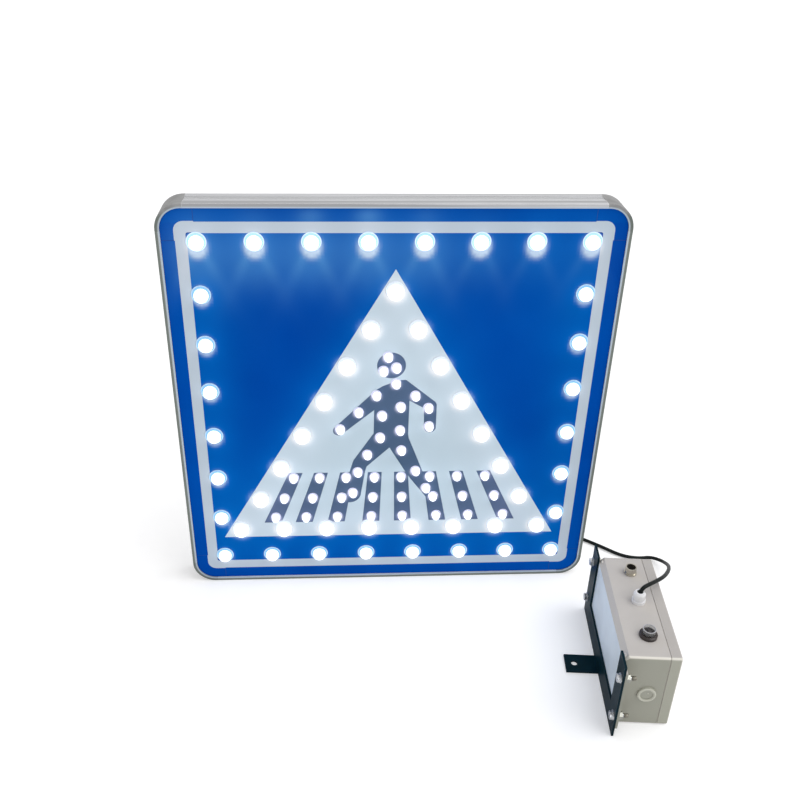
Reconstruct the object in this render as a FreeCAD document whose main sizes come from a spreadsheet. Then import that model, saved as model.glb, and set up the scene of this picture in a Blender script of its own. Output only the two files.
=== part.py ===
import FreeCAD, Part
import math
import os
import re
import Sketcher

# Lit pedestrian crossing sign: a square framed panel with lamps in its face, its flat cable
# run and the control box that feeds it. Millimetres. X points right as a walker sees the sign,
# Y points away from the walker, Z points up. The origin is the middle of the sign's foot.

SIZES = {
    # Sign frame
    "panel_side": 600.0,
    "panel_corner_radius": 28.0,
    "lip_width": 6.0,
    "lip_thickness": 1.8,
    "frame_depth": 41.0,
    "wall": 2.2,
    "flange_width": 14.0,
    "corner_leg": 2.5,
    "front_band": 15.0,
    "back_band": 9.0,
    "groove_depth": 0.9,
    "ridge_width": 1.4,
    "ridge_drop": 0.3,
    # Corner keys inside the frame
    "key_thickness": 4.0,
    "key_depth": 22.0,
    "key_leg": 32.0,
    "key_screw_radius": 2.5,
    "key_screw_place": 18.0,
    "seat_gap": 0.2,
    # Face sheet, boards and back cover
    "plate_thickness": 2.0,
    "plate_fit": 0.4,
    "film_thickness": 0.3,
    "board_standoff": 9.0,
    "board_thickness": 1.6,
    "board_width": 26.0,
    "board_gap": 1.0,
    "board_margin": 15.0,
    "spacer_radius": 4.0,
    "board_screw_radius": 1.5,
    "board_screw_head_radius": 3.0,
    "board_screw_head": 2.0,
    "board_screw_length": 7.0,
    "cover_thickness": 1.5,
    "cover_recess": 2.0,
    "cover_screw_radius": 2.0,
    "cover_screw_length": 8.0,
    "cover_screw_head_radius": 3.7,
    "cover_screw_head": 2.2,
    "cover_screw_spacing": 200.0,
    "screw_fit": 0.15,
    # Film layout on the face
    "film_edge_gap": 0.3,
    "band_outside": 18.0,
    "band_width": 15.0,
    "band_corner_radius": 13.0,
    "band_inner_radius": 3.0,
    "corner_patch": 43.0,
    "patch_shift": 1.0,
    "film_seam": 0.8,
    "picture_side": 600.0,
    "triangle_half_base": 253.5,
    "triangle_apex": 217.5,
    "triangle_foot": -221.5,
    "head_radius": 20.0,
    "bar_top": -104.0,
    "bar_foot": -194.6,
    "bar_top_width": 20.4,
    "bar_foot_width": 25.8,
    # Lamps
    "border_lamp_inset": 44.5,
    "triangle_lamp_pitch": 65.0,
    "triangle_lamp_apex": 188.0,
    "triangle_lamp_foot": -204.3,
    "bar_lamp_high": -110.5,
    "bar_lamp_middle": -147.0,
    "bar_lamp_low": -182.5,
    "lens_radius": 10.8,
    "lens_flange_radius": 13.3,
    "lens_flange": 1.2,
    "lens_height": 7.0,
    "lens_round": 5.0,
    "lens_wall": 1.6,
    "small_lens_radius": 6.3,
    "small_flange_radius": 7.4,
    "small_lens_height": 5.5,
    "small_lens_round": 3.5,
    "lens_fit": 0.3,
    "emitter_side": 5.0,
    "emitter_height": 1.6,
    # Parts fixed to the back cover
    "flasher_length": 90.0,
    "flasher_height": 55.0,
    "flasher_depth": 14.0,
    "flasher_place": 95.0,
    "terminal_length": 46.0,
    "terminal_height": 17.0,
    "terminal_depth": 12.0,
    "ribbon_width": 12.0,
    "ribbon_thickness": 1.0,
    # Back rails and clamp studs
    "rail_length": 400.0,
    "rail_height": 41.0,
    "rail_depth": 21.0,
    "rail_wall": 2.2,
    "rail_slot": 12.0,
    "rail_spacing": 300.0,
    "rivet_radius": 2.4,
    "rivet_head_radius": 4.4,
    "rivet_head": 1.4,
    "rivet_spacing": 150.0,
    "stud_radius": 4.0,
    "stud_end_radius": 3.8,
    "stud_end_gap": 0.5,
    "stud_length": 42.0,
    "stud_head_long": 24.0,
    "stud_head_wide": 11.2,
    "stud_head": 5.0,
    "stud_spacing": 200.0,
    "washer_radius": 9.0,
    "washer_thickness": 1.6,
    "nut_radius": 7.5,
    "nut_height": 6.5,
    # Cable and its glands
    "cable_diameter": 5.5,
    "cable_run_at_sign": 30.6,
    "cable_run_at_box": 8.6,
    "sign_gland_inset": 71.0,
    "sign_gland_z": 48.0,
    "gland_flange_radius": 9.2,
    "gland_flange": 4.5,
    "gland_thread_radius": 6.0,
    "gland_neck_radius": 6.6,
    "gland_neck": 5.5,
    "gland_cap_radius": 8.0,
    "gland_cap_mouth": 5.2,
    "gland_height": 17.0,
    "gland_seal_drop": 0.6,
    "gland_nut_radius": 9.5,
    "gland_nut": 4.0,
    "gland_tail": 9.0,
    # Control box
    "box_x": 288.8,
    "box_y": -220.3,
    "box_turn": -5.2,
    "box_long": 195.0,
    "box_high": 121.0,
    "box_deep": 75.0,
    "box_wall": 3.0,
    "box_round": 4.0,
    "box_back_bevel": 7.0,
    "lid_depth": 14.0,
    "gasket": 1.0,
    "gasket_inset": 1.2,
    "gasket_width": 2.6,
    "ear_width": 19.0,
    "ear_thickness": 4.0,
    "ear_drop": 8.0,
    "post_radius": 5.0,
    "lid_screw_radius": 2.0,
    "lid_screw_head_radius": 3.6,
    "lid_screw_head": 2.5,
    "lid_screw_length": 30.0,
    # Box bracket and its bolts
    "bracket_thickness": 3.0,
    "bracket_overhang": 22.0,
    "bracket_rise": 3.5,
    "bracket_leg": 29.5,
    "bracket_sill": 33.0,
    "foot_reach": 44.5,
    "foot_width": 32.0,
    "foot_place": 3.0,
    "foot_hole_radius": 4.5,
    "foot_hole_inset": 13.0,
    "bolt_radius": 3.0,
    "bolt_edge": 8.0,
    "bolt_high": 98.5,
    "bolt_low": 30.5,
    "bolt_head_radius": 5.8,
    "bolt_head": 4.0,
    "bolt_length": 14.0,
    "bolt_nut": 4.5,
    "bolt_washer_radius": 6.8,
    "bolt_washer": 1.2,
    # Fittings in the box's top face
    "fitting_line": 38.5,
    "socket_place": 63.7,
    "gland_place": 6.0,
    "sensor_place": -58.5,
    "socket_flange_radius": 8.8,
    "socket_flange": 2.5,
    "socket_radius": 7.8,
    "socket_bore": 6.3,
    "socket_height": 11.0,
    "socket_insert_top": 4.5,
    "fitting_nut_radius": 10.5,
    "fitting_nut": 3.0,
    "socket_tail": 10.0,
    "contact_radius": 0.8,
    "contact_circle": 3.4,
    "contact_depth": 8.0,
    "sensor_base_radius": 11.8,
    "sensor_base": 5.0,
    "sensor_collar_radius": 8.8,
    "sensor_dome_radius": 7.8,
    "sensor_dome_height": 13.0,
    "sensor_dome_wall": 1.2,
    "sensor_core_radius": 5.0,
    "sensor_core_height": 7.5,
    "plug_height": 57.0,
    "plug_radius": 12.3,
    "plug_rim": 2.6,
    "plug_face_radius": 9.0,
    "plug_recess": 1.0,
    "plug_tail": 7.0,
    # Inside the box
    "battery_share": 43.0,
    "controller_share": 38.0,
    "inside_gap": 2.0,
    "battery_deep": 42.0,
    "battery_high": 46.0,
    "battery_end_gap": 4.0,
    "controller_high": 70.0,
    "controller_thickness": 1.6,
    "controller_gap": 6.0,
    "controller_end_gap": 3.0,
    "controller_lift": 22.0,
    "post_inset": 4.0,
    "controller_post_radius": 3.0,
}

# Centres of the walking figure's lamps, right and up from the middle of the face.
FIGURE_LAMPS = {
    "crown": (-8.2, 90.3),
    "cheek_right": (3.7, 73.1),
    "cheek_left": (-14.3, 68.1),
    "neck": (3.6, 47.9),
    "shoulder_left": (-23.7, 29.1),
    "elbow_left": (-48.8, 1.7),
    "hand_left": (-75.3, -26.5),
    "chest_right": (11.1, 9.9),
    "chest_left": (-15.2, -4.3),
    "waist_right": (11.0, -29.2),
    "waist_left": (-17.7, -41.2),
    "shoulder_right": (31.6, 28.0),
    "elbow_right": (50.9, 7.7),
    "hand_right": (52.6, -22.8),
    "thigh_left": (-36.0, -70.6),
    "shin_left": (-49.9, -101.3),
    "foot_left": (-57.2, -138.5),
    "thigh_right": (13.8, -63.7),
    "shin_right": (35.6, -100.2),
    "foot_right": (52.1, -131.6),
}

# Centre of each crossing bar at its top and at its foot, from the middle of the face.
BARS = {
    "bar_one": (-141.5, -178.5),
    "bar_two": (-104.0, -131.3),
    "bar_three": (-65.5, -82.5),
    "bar_four": (-24.3, -29.5),
    "bar_five": (14.5, 19.0),
    "bar_six": (56.5, 72.3),
    "bar_seven": (96.6, 122.8),
    "bar_eight": (137.6, 178.6),
}
BARS_UNDER_FEET = ("bar_three", "bar_five", "bar_six")

# Corners of the walking figure, clockwise from the neck; a pair with a third point is an arc.
FIGURE_CORNERS = {
    "neck_left": (7.5, 51.4),
    "neck_right": (18.0, 52.0),
    "elbow_right_outer": (61.0, 15.5),
    "elbow_right_corner": (62.8, 11.5),
    "palm_right_outer": (63.0, -26.0),
    "palm_right_inner": (46.0, -26.0),
    "elbow_right_inner": (44.6, 6.0),
    "armpit_right": (23.6, 18.5),
    "waist_right_side": (23.2, -37.5),
    "hip_right": (24.4, -45.0),
    "knee_right_outer": (33.6, -69.0),
    "foot_right_outer": (60.0, -140.0),
    "foot_right_tip": (55.5, -153.5),
    "knee_right_low": (28.1, -115.2),
    "knee_right_inner": (19.1, -100.3),
    "crotch": (-3.4, -60.5),
    "knee_left_inner": (-36.5, -93.5),
    "shin_left_inner": (-38.6, -101.0),
    "ankle_left_inner": (-44.8, -141.0),
    "foot_left_end": (-65.8, -158.3),
    "foot_left_outer": (-70.0, -140.0),
    "knee_left_low": (-61.8, -103.0),
    "knee_left_outer": (-56.0, -82.6),
    "waist_left_side": (-26.7, -35.8),
    "armpit_left": (-26.3, 3.5),
    "palm_left_lower": (-72.6, -36.6),
    "palm_left_upper": (-82.2, -24.6),
    "shoulder_left_low": (-23.6, 36.3),
    "shoulder_left_high": (-14.0, 42.6),
}
FIGURE_ROUNDS = {
    "palm_right_outer": ("palm_right_end", (54.5, -35.0)),
    "ankle_left_inner": ("foot_left_round", (-52.3, -155.6)),
    "palm_left_lower": ("palm_left_end", (-83.4, -36.0)),
}

HEAD_CENTRE = {"head_centre": (-3.0, 75.0)}

# Spacers between the face sheet and the pictogram's board, from the middle of the face.
SPACER_SPOTS = {
    "spacer_apex": (0.0, 140.0),
    "spacer_left": (-110.0, -75.0),
    "spacer_right": (110.0, -75.0),
    "spacer_low_left": (-201.0, -177.0),
    "spacer_low_right": (201.0, -177.0),
}

# Corner points of the cable between the straight runs out of the sign's gland and the
# control box's gland: the first ones across from the sign's gland, the others in the sign's frame.
CABLE_START = [
    (14.0, 91.0, 25.0),
    (49.0, 90.0, 3.4),
    (92.0, 65.0, 3.0),
    (122.5, 41.5, 3.0),
]
CABLE_POINTS = [
    (387.0, 15.5, 3.0),
    (413.5, 8.5, 3.0),
    (433.0, 9.5, 4.3),
    (444.5, -4.5, 9.5),
    (445.0, -25.0, 20.5),
    (437.0, -52.0, 39.5),
    (419.5, -92.5, 71.0),
    (398.5, -138.0, 104.0),
    (373.0, -182.0, 131.0),
    (350.5, -206.5, 143.0),
    (335.6, -215.2, 149.6),
]

# Values that follow from the sizes above.
RULES = {
    "half_frame": "panel_side / 2 + lip_width",
    "sign_gland_x": "half_frame - sign_gland_inset",
    "frame_corner_radius": "panel_corner_radius + lip_width",
    "corner_centre": "half_frame - frame_corner_radius",
    "front_y": "-frame_depth / 2",
    "back_y": "frame_depth / 2",
    "lip_back_y": "front_y + lip_thickness",
    "plate_front_y": "lip_back_y + seat_gap",
    "plate_back_y": "plate_front_y + plate_thickness",
    "ledge_back_y": "plate_back_y + wall",
    "film_front_y": "plate_front_y - film_thickness",
    "figure_front_y": "film_front_y - film_thickness",
    "board_front_y": "plate_back_y + board_standoff",
    "board_back_y": "board_front_y + board_thickness",
    "cover_front_y": "back_y - cover_recess",
    "cover_back_y": "cover_front_y + cover_thickness",
    "flange_front_y": "cover_front_y - wall",
    "half_plate": "half_frame - wall - plate_fit",
    "plate_radius": "frame_corner_radius - wall - plate_fit",
    "screw_line": "half_frame - (wall + flange_width) / 2",
    "band_outer": "panel_side / 2 - band_outside",
    "band_inner": "band_outer - band_width",
    "patch_start": "panel_side / 2 - corner_patch",
    "border_lamp_line": "panel_side / 2 - border_lamp_inset",
    "border_lamp_pitch": "border_lamp_line * 2 / 7",
    "picture_scale": "panel_side / picture_side",
    "rail_back_y": "cover_back_y + rail_depth",
    "lens_hole_radius": "lens_radius + lens_fit",
    "small_hole_radius": "small_lens_radius + lens_fit",
    "box_half": "box_long / 2",
    "base_deep": "box_deep - lid_depth - gasket",
    "bracket_half": "box_half + bracket_overhang",
    "bracket_top": "box_high + bracket_rise",
    "bolt_line": "bracket_half - bolt_edge",
    "post_line": "box_half - box_wall - post_inset",
    "inside_run": "(post_line - post_radius) * 2 - battery_end_gap - controller_end_gap - inside_gap",
    "battery_long": "inside_run * battery_share / (battery_share + controller_share)",
    "controller_long": "inside_run - battery_long",
}


# Sheet of sizes and the rules that read it

doc = FreeCAD.newDocument("CrossingSign")
sheet = doc.addObject("Spreadsheet::Sheet", "Sizes")
POINT_GROUPS = (FIGURE_LAMPS, FIGURE_CORNERS, HEAD_CENTRE, SPACER_SPOTS, dict(FIGURE_ROUNDS.values()))


def fill_sheet():
    """Write every size, point and rule to a row of its own, under its own name."""
    cells = dict(SIZES)
    for group in POINT_GROUPS:
        for name, (across, up) in group.items():
            cells[name + "_across"] = across
            cells[name + "_up"] = up
    for name, (top, foot) in BARS.items():
        cells[name + "_at_top"] = top
        cells[name + "_at_foot"] = foot
    for row, (name, value) in enumerate(cells.items(), start=1):
        sheet.set(f"A{row}", name)
        sheet.set(f"B{row}", str(value))
        sheet.setAlias(f"B{row}", name)
    for row, (name, rule) in enumerate(RULES.items(), start=len(cells) + 1):
        sheet.set(f"A{row}", name)
        sheet.set(f"B{row}", "=" + rule)
        sheet.setAlias(f"B{row}", name)
    doc.recompute()


def linked(rule):
    """A rule in plain names, rewritten so that any object can read the sheet with it."""
    return re.sub(r"\b([a-z][a-z_]*)\b", r"Sizes.\1", str(rule))


def size(rule):
    """The number that a rule gives now."""
    return float(sheet.evalExpression(linked(rule)))


def picture(rule):
    """A size of the picture on the face, in step with the panel."""
    return size(f"({rule}) * picture_scale")


def point(name):
    """A named point of the face: right and up from its middle."""
    return picture(name + "_across"), picture(name + "_up")


# Building blocks

SPIN = {
    "up": FreeCAD.Rotation(),
    "down": FreeCAD.Rotation(FreeCAD.Vector(1, 0, 0), 180),
    "front": FreeCAD.Rotation(FreeCAD.Vector(1, 0, 0), 90),
    "back": FreeCAD.Rotation(FreeCAD.Vector(1, 0, 0), -90),
    "right": FreeCAD.Rotation(FreeCAD.Vector(0, 1, 0), 90),
    "left": FreeCAD.Rotation(FreeCAD.Vector(0, 1, 0), -90),
}
NODES = []


def node(thing, name):
    """Mark an object as a finished sub-part under its own name."""
    thing.Label = name
    NODES.append(thing)
    return thing


def place(thing, across="0", away="0", up="0", spin=FreeCAD.Rotation()):
    """Put an object at a place that follows the sheet."""
    thing.Placement = FreeCAD.Placement(FreeCAD.Vector(), spin)
    for axis, rule in (("x", across), ("y", away), ("z", up)):
        thing.setExpression(f"Placement.Base.{axis}", linked(rule))
    return thing


def block(name, long, deep, high, across, away, up):
    """A box from its low corner."""
    thing = doc.addObject("Part::Box", name)
    for side, rule in (("Length", long), ("Width", deep), ("Height", high)):
        thing.setExpression(side, linked(rule))
    return place(thing, across, away, up)


def rod(name, radius, height, across, away, up, facing="up"):
    """A round bar that grows from its foot in the direction it faces."""
    thing = doc.addObject("Part::Cylinder", name)
    thing.setExpression("Radius", linked(radius))
    thing.setExpression("Height", linked(height))
    return place(thing, across, away, up, SPIN[facing])


def hexagon(name, radius, height, across, away, up, facing="up"):
    """A six-sided bar, with its corners on a circle of the radius."""
    thing = doc.addObject("Part::Prism", name)
    thing.Polygon = 6
    thing.setExpression("Circumradius", linked(radius))
    thing.setExpression("Height", linked(height))
    return place(thing, across, away, up, SPIN[facing])


def union(name, parts):
    """Several solids joined to one."""
    thing = doc.addObject("Part::MultiFuse", name)
    thing.Shapes = parts
    thing.Refine = True
    return thing


def cut(name, base, tools):
    """A solid with others taken out of it."""
    thing = doc.addObject("Part::Cut", name)
    thing.Base = base
    thing.Tool = tools[0] if len(tools) == 1 else gathered(name + "_tools", tools)
    return thing


def gathered(name, parts):
    """Several objects held together as one compound."""
    thing = doc.addObject("Part::Compound", name)
    thing.Links = parts
    return thing


def drawn(body, plane, corners, shift=("0", "0", "0")):
    """A closed outline on one of a body's own planes, every corner tied to the sheet."""
    outline = body.newObject("Sketcher::SketchObject", body.Name + "_outline")
    planes = {item.Role: item for item in body.Origin.OriginFeatures}
    outline.AttachmentSupport = [(planes[plane], "")]
    outline.MapMode = "FlatFace"
    for axis, rule in zip("xyz", shift):
        outline.setExpression(f"AttachmentOffset.Base.{axis}", linked(rule))
    spots = [(size(first), size(second)) for first, second in corners]
    count = len(spots)
    for index in range(count):
        start = FreeCAD.Vector(*spots[index], 0)
        end = FreeCAD.Vector(*spots[(index + 1) % count], 0)
        outline.addGeometry(Part.LineSegment(start, end), False)
    for index in range(count):
        outline.addConstraint(Sketcher.Constraint("Coincident", index, 2, (index + 1) % count, 1))
    for index, rules in enumerate(corners):
        for kind, rule, value in zip(("DistanceX", "DistanceY"), rules, spots[index]):
            number = outline.addConstraint(Sketcher.Constraint(kind, index, 1, value))
            outline.setExpression(f"Constraints[{number}]", linked(rule))
    doc.recompute()
    return outline


def padded(body, outline, length, reversed=False, middle=False):
    """Grow an outline straight into a solid."""
    pad = body.newObject("PartDesign::Pad", body.Name + "_pad")
    pad.Profile = outline
    pad.setExpression("Length", linked(length))
    pad.Reversed = reversed
    pad.Midplane = middle
    doc.recompute()
    return pad


def pocketed(body, outline, depth, reversed=False):
    """Cut an outline into a solid and make sure that it took something away."""
    before = body.Shape.Volume
    pocket = body.newObject("PartDesign::Pocket", body.Name + "_pocket")
    pocket.Profile = outline
    pocket.setExpression("Length", linked(depth))
    pocket.Reversed = reversed
    doc.recompute()
    if body.Shape.Volume >= before:
        raise RuntimeError(body.Name + ": the pocket cut nothing")
    return pocket


def rounded(body, keep, radius, kind="PartDesign::Fillet"):
    """Round or bevel the edges of a body that the test picks."""
    names = [f"Edge{index}" for index, edge in enumerate(body.Shape.Edges, start=1) if keep(edge)]
    if not names:
        raise RuntimeError(body.Name + ": no edge to round")
    last = body.Tip
    feature = body.newObject(kind, body.Name + "_round")
    feature.Base = (last, names)
    feature.setExpression("Size" if kind.endswith("Chamfer") else "Radius", linked(radius))
    doc.recompute()
    return feature


def runs_along(edge, axis):
    """Whether an edge is straight along an axis, given as a letter."""
    box = edge.BoundBox
    spans = {"x": box.XLength, "y": box.YLength, "z": box.ZLength}
    others = sum(length for letter, length in spans.items() if letter != axis)
    return spans[axis] > 1e-6 and others < 1e-6


def turned(name, corners, round_at=None, round_radius="0"):
    """A body of revolution about Z from corners given as radius and height."""
    body = doc.addObject("PartDesign::Body", name)
    outline = drawn(body, "XZ_Plane", corners)
    spun = body.newObject("PartDesign::Revolution", name + "_turn")
    spun.Profile = outline
    spun.ReferenceAxis = (outline, ["V_Axis"])
    spun.Angle = 360
    doc.recompute()
    if round_at is not None:
        level = size(round_at)

        def at_level(edge):
            box = edge.BoundBox
            return box.ZLength < 1e-6 and abs(box.ZMin - level) < 1e-6 and box.XLength > 0

        rounded(body, at_level, round_radius)
    return body


def copies(name, pattern, spots):
    """One node that holds the same solid at every spot; a spot is a placement."""
    thing = doc.addObject("Part::Feature", name)
    solids = []
    for spot in spots:
        for solid in pattern.Shape.Solids:
            twin = solid.copy()
            twin.Placement = spot.multiply(twin.Placement)
            solids.append(twin)
    thing.Shape = Part.makeCompound(solids)
    return thing


def on_face(spots, away, facing="front"):
    """Placements on the sign's face for spots given right and up from its middle."""
    middle = size("half_frame")
    level = size(away)
    return [FreeCAD.Placement(FreeCAD.Vector(across, level, middle + up), SPIN[facing])
            for across, up in spots]


def set_shape(name, shape):
    """An object that simply holds a shape worked out from the sheet."""
    thing = doc.addObject("Part::Feature", name)
    thing.Shape = shape
    return thing


# Where the lamps are

def border_spots():
    """Eight lamps along each side of the border, the corner lamps shared."""
    pitch = size("border_lamp_pitch")
    line = size("border_lamp_line")
    steps = [-line + pitch * index for index in range(8)]
    spots = []
    for up in (line, -line):
        spots += [(across, up) for across in steps]
    for across in (-line, line):
        spots += [(across, up) for up in steps[1:-1]]
    return spots


def triangle_spots():
    """Eight lamps along each side of the triangle, the corner lamps shared."""
    apex = picture("triangle_lamp_apex")
    foot = picture("triangle_lamp_foot")
    pitch = picture("triangle_lamp_pitch")
    spots = [(0.0, apex)]
    for index in range(1, 7):
        up = apex + (foot - apex) * index / 7
        spots += [(-pitch / 2 * index, up), (pitch / 2 * index, up)]
    spots += [(pitch * (index - 3.5), foot) for index in range(8)]
    return spots


def bar_spots():
    """Three lamps down the middle of each crossing bar."""
    top, foot = picture("bar_top"), picture("bar_foot")
    spots = []
    for name in BARS:
        high, low = picture(name + "_at_top"), picture(name + "_at_foot")
        for row in ("bar_lamp_high", "bar_lamp_middle", "bar_lamp_low"):
            share = (top - picture(row)) / (top - foot)
            spots.append((high + (low - high) * share, picture(row)))
    return spots


def figure_spots():
    """The lamps of the walking figure."""
    return [point(name) for name in FIGURE_LAMPS]


# Frame: four extruded rails, four corner castings, keys inside

def frame_profile(outer, grooved):
    """The frame's section as depth and reach, with its outside at the given reach."""
    outside = [("front_y", outer)]
    if grooved:
        low = f"{outer} - groove_depth"
        high = f"{outer} - ridge_drop"
        start = "front_y + front_band"
        end = "back_y - back_band"
        first = f"({start}) + (({end}) - ({start})) / 3"
        second = f"({start}) + (({end}) - ({start})) / 3 * 2"
        outside += [(start, outer), (start, low)]
        for ridge in (first, second):
            outside += [(f"{ridge} - ridge_width / 2", low), (f"{ridge} - ridge_width / 2", high),
                        (f"{ridge} + ridge_width / 2", high), (f"{ridge} + ridge_width / 2", low)]
        outside += [(end, low), (end, outer)]
    inner = f"{outer} - wall"
    toe = f"{outer} - flange_width"
    edge = f"{outer} - lip_width"
    return outside + [
        ("back_y", outer), ("back_y", inner), ("cover_front_y", inner), ("cover_front_y", toe),
        ("flange_front_y", toe), ("flange_front_y", inner), ("ledge_back_y", inner),
        ("ledge_back_y", toe), ("plate_back_y", toe), ("plate_back_y", inner),
        ("lip_back_y", inner), ("lip_back_y", edge), ("front_y", edge),
    ]


def key_profile(outer, grooved):
    """The key's flat bar, lying against the inside of the frame's wall."""
    high = f"{outer} - wall - seat_gap"
    low = f"{outer} - wall - seat_gap - key_thickness"
    middle = "(ledge_back_y + flange_front_y) / 2"
    return [(f"{middle} - key_depth / 2", high), (f"{middle} + key_depth / 2", high),
            (f"{middle} + key_depth / 2", low), (f"{middle} - key_depth / 2", low)]


QUARTERS = {"top": 0, "right": 90, "bottom": 180, "left": 270}
CORNER_NAMES = {"top_right": 0, "bottom_right": 90, "bottom_left": 180, "top_left": 270}


def around(angle):
    """A quarter turn about the sign's middle axis."""
    return FreeCAD.Rotation(FreeCAD.Vector(0, 1, 0), angle)


def bent(name, profile, leg):
    """A section swept round the frame's corner, with a straight leg at both ends."""
    body = doc.addObject("PartDesign::Body", name)
    upright = drawn(body, "YZ_Plane", profile("frame_corner_radius", False),
                    ("0", "corner_centre", "corner_centre"))
    padded(body, upright, leg, reversed=True)
    swept = body.newObject("PartDesign::Revolution", name + "_bend")
    swept.Profile = upright
    swept.ReferenceAxis = (upright, ["H_Axis"])
    swept.Angle = 90
    doc.recompute()
    flat = [(reach, depth) for depth, reach in profile("frame_corner_radius", False)]
    level = drawn(body, "XY_Plane", flat, ("corner_centre", "0", "corner_centre"))
    padded(body, level, leg, reversed=True)
    return body


def cover_screw_holes(name):
    """Three screw holes along the back flange of a rail that lies at the top."""
    holes = []
    for index, side in enumerate(("-cover_screw_spacing", "0", "cover_screw_spacing")):
        holes.append(rod(f"{name}_hole_{index}", "cover_screw_radius + screw_fit", "wall * 3",
                         side, "flange_front_y - wall", "screw_line", "back"))
    return holes


def build_frame():
    """Rails and corners, each placed by a quarter turn, and the keys and grub screws."""
    for side, angle in QUARTERS.items():
        body = doc.addObject("PartDesign::Body", "rail_body_" + side)
        outline = drawn(body, "YZ_Plane", frame_profile("half_frame", True))
        padded(body, outline, "(corner_centre - corner_leg) * 2", middle=True)
        rail = cut("rail_cut_" + side, body, cover_screw_holes("rail_" + side))
        node(place(rail, up="half_frame", spin=around(angle)), "frame_rail_" + side)
    for side, angle in CORNER_NAMES.items():
        body = bent("corner_body_" + side, frame_profile, "corner_leg")
        node(place(body, up="half_frame", spin=around(angle)), "frame_corner_" + side)
    key = bent("key_body", key_profile, "key_leg")
    middle = "(ledge_back_y + flange_front_y) / 2"
    reach = "half_frame - wall - seat_gap - key_thickness"
    place_along = "corner_centre - key_screw_place"
    holes = [
        rod("key_hole_up", "key_screw_radius + screw_fit", "key_thickness * 2",
            place_along, middle, f"{reach} - key_thickness / 2"),
        rod("key_hole_side", "key_screw_radius + screw_fit", "key_thickness * 2",
            f"{reach} - key_thickness / 2", middle, place_along, "right"),
    ]
    drilled = cut("key_drilled", key, holes)
    screws = gathered("key_screw_pair", [
        rod("key_screw_up", "key_screw_radius", "key_thickness + seat_gap + 1",
            place_along, middle, f"{reach} - 1"),
        rod("key_screw_side", "key_screw_radius", "key_thickness + seat_gap + 1",
            f"{reach} - 1", middle, place_along, "right"),
    ])
    doc.recompute()
    lift = FreeCAD.Vector(0, 0, size("half_frame"))
    turns = [FreeCAD.Placement(lift, around(angle)) for angle in CORNER_NAMES.values()]
    node(copies("keys", drilled, turns), "corner_keys")
    node(copies("key_screws", screws, turns), "corner_key_screws")


# Face sheet and films

def square_body(name, half, radius, back, thickness):
    """A square sheet with round corners, its back face at the given depth."""
    body = doc.addObject("PartDesign::Body", name)
    low, high = f"half_frame - ({half})", f"half_frame + {half}"
    corners = [(f"-({half})", low), (half, low), (half, high), (f"-({half})", high)]
    outline = drawn(body, "XZ_Plane", corners, ("0", "0", f"-({back})"))
    padded(body, outline, thickness)
    rounded(body, lambda edge: runs_along(edge, "y"), radius)
    return body


def lamp_holes(name, with_small=True):
    """Round bars through the face at every lamp."""
    front = "figure_front_y * 2"
    reach = size("plate_back_y") - size(front) + 1
    origin = FreeCAD.Vector(0, 0, 0)
    large = Part.makeCylinder(size("lens_hole_radius"), reach, origin, FreeCAD.Vector(0, 0, 1))
    small = Part.makeCylinder(size("small_hole_radius"), reach, origin, FreeCAD.Vector(0, 0, 1))
    bars = []
    for spot in on_face(border_spots() + triangle_spots(), front, "back"):
        bars.append(placed(large, spot))
    if with_small:
        for spot in on_face(figure_spots() + bar_spots(), front, "back"):
            bars.append(placed(small, spot))
    return set_shape(name, Part.makeCompound(bars))


def placed(shape, spot):
    """A copy of a shape at a placement."""
    twin = shape.copy()
    twin.Placement = spot
    return twin


def flat_shape(corners, back, thickness, rounds=None):
    """A thin sheet on the face from named or plain corners, some joined by an arc."""
    middle = size("half_frame")
    level = size(back)
    spots = {name: FreeCAD.Vector(across, level, middle + up) for name, (across, up) in corners.items()}
    names = list(spots)
    edges = []
    for index, name in enumerate(names):
        start, end = spots[name], spots[names[(index + 1) % len(names)]]
        if rounds and name in rounds:
            across, up = point(rounds[name][0])
            through = FreeCAD.Vector(across, level, middle + up)
            edges.append(Part.Arc(start, through, end).toShape())
        else:
            edges.append(Part.LineSegment(start, end).toShape())
    face = Part.Face(Part.Wire(edges))
    return face.extrude(FreeCAD.Vector(0, -size(thickness), 0))


def rectangle(low_across, high_across, low_up, high_up):
    """Corners of an upright rectangle on the face."""
    return {"low_left": (low_across, low_up), "low_right": (high_across, low_up),
            "high_right": (high_across, high_up), "high_left": (low_across, high_up)}


def rounded_square(half, radius, shift=0.0):
    """A round-cornered square of film in the first film layer, centred on the face."""
    sheet_shape = flat_shape(rectangle(-half, half, -half, half), "plate_front_y", "film_thickness")
    upright = [edge for edge in sheet_shape.Edges if runs_along(edge, "y")]
    sheet_shape = sheet_shape.makeFillet(radius, upright)
    sheet_shape.translate(FreeCAD.Vector(shift, 0, shift))
    return sheet_shape


def four_ways(shape):
    """The shape at each quarter turn about the sign's middle axis."""
    turned_shapes = []
    for angle in QUARTERS.values():
        twin = shape.copy()
        twin.rotate(FreeCAD.Vector(0, 0, size("half_frame")), FreeCAD.Vector(0, 1, 0), angle)
        turned_shapes.append(twin)
    return turned_shapes


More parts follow.
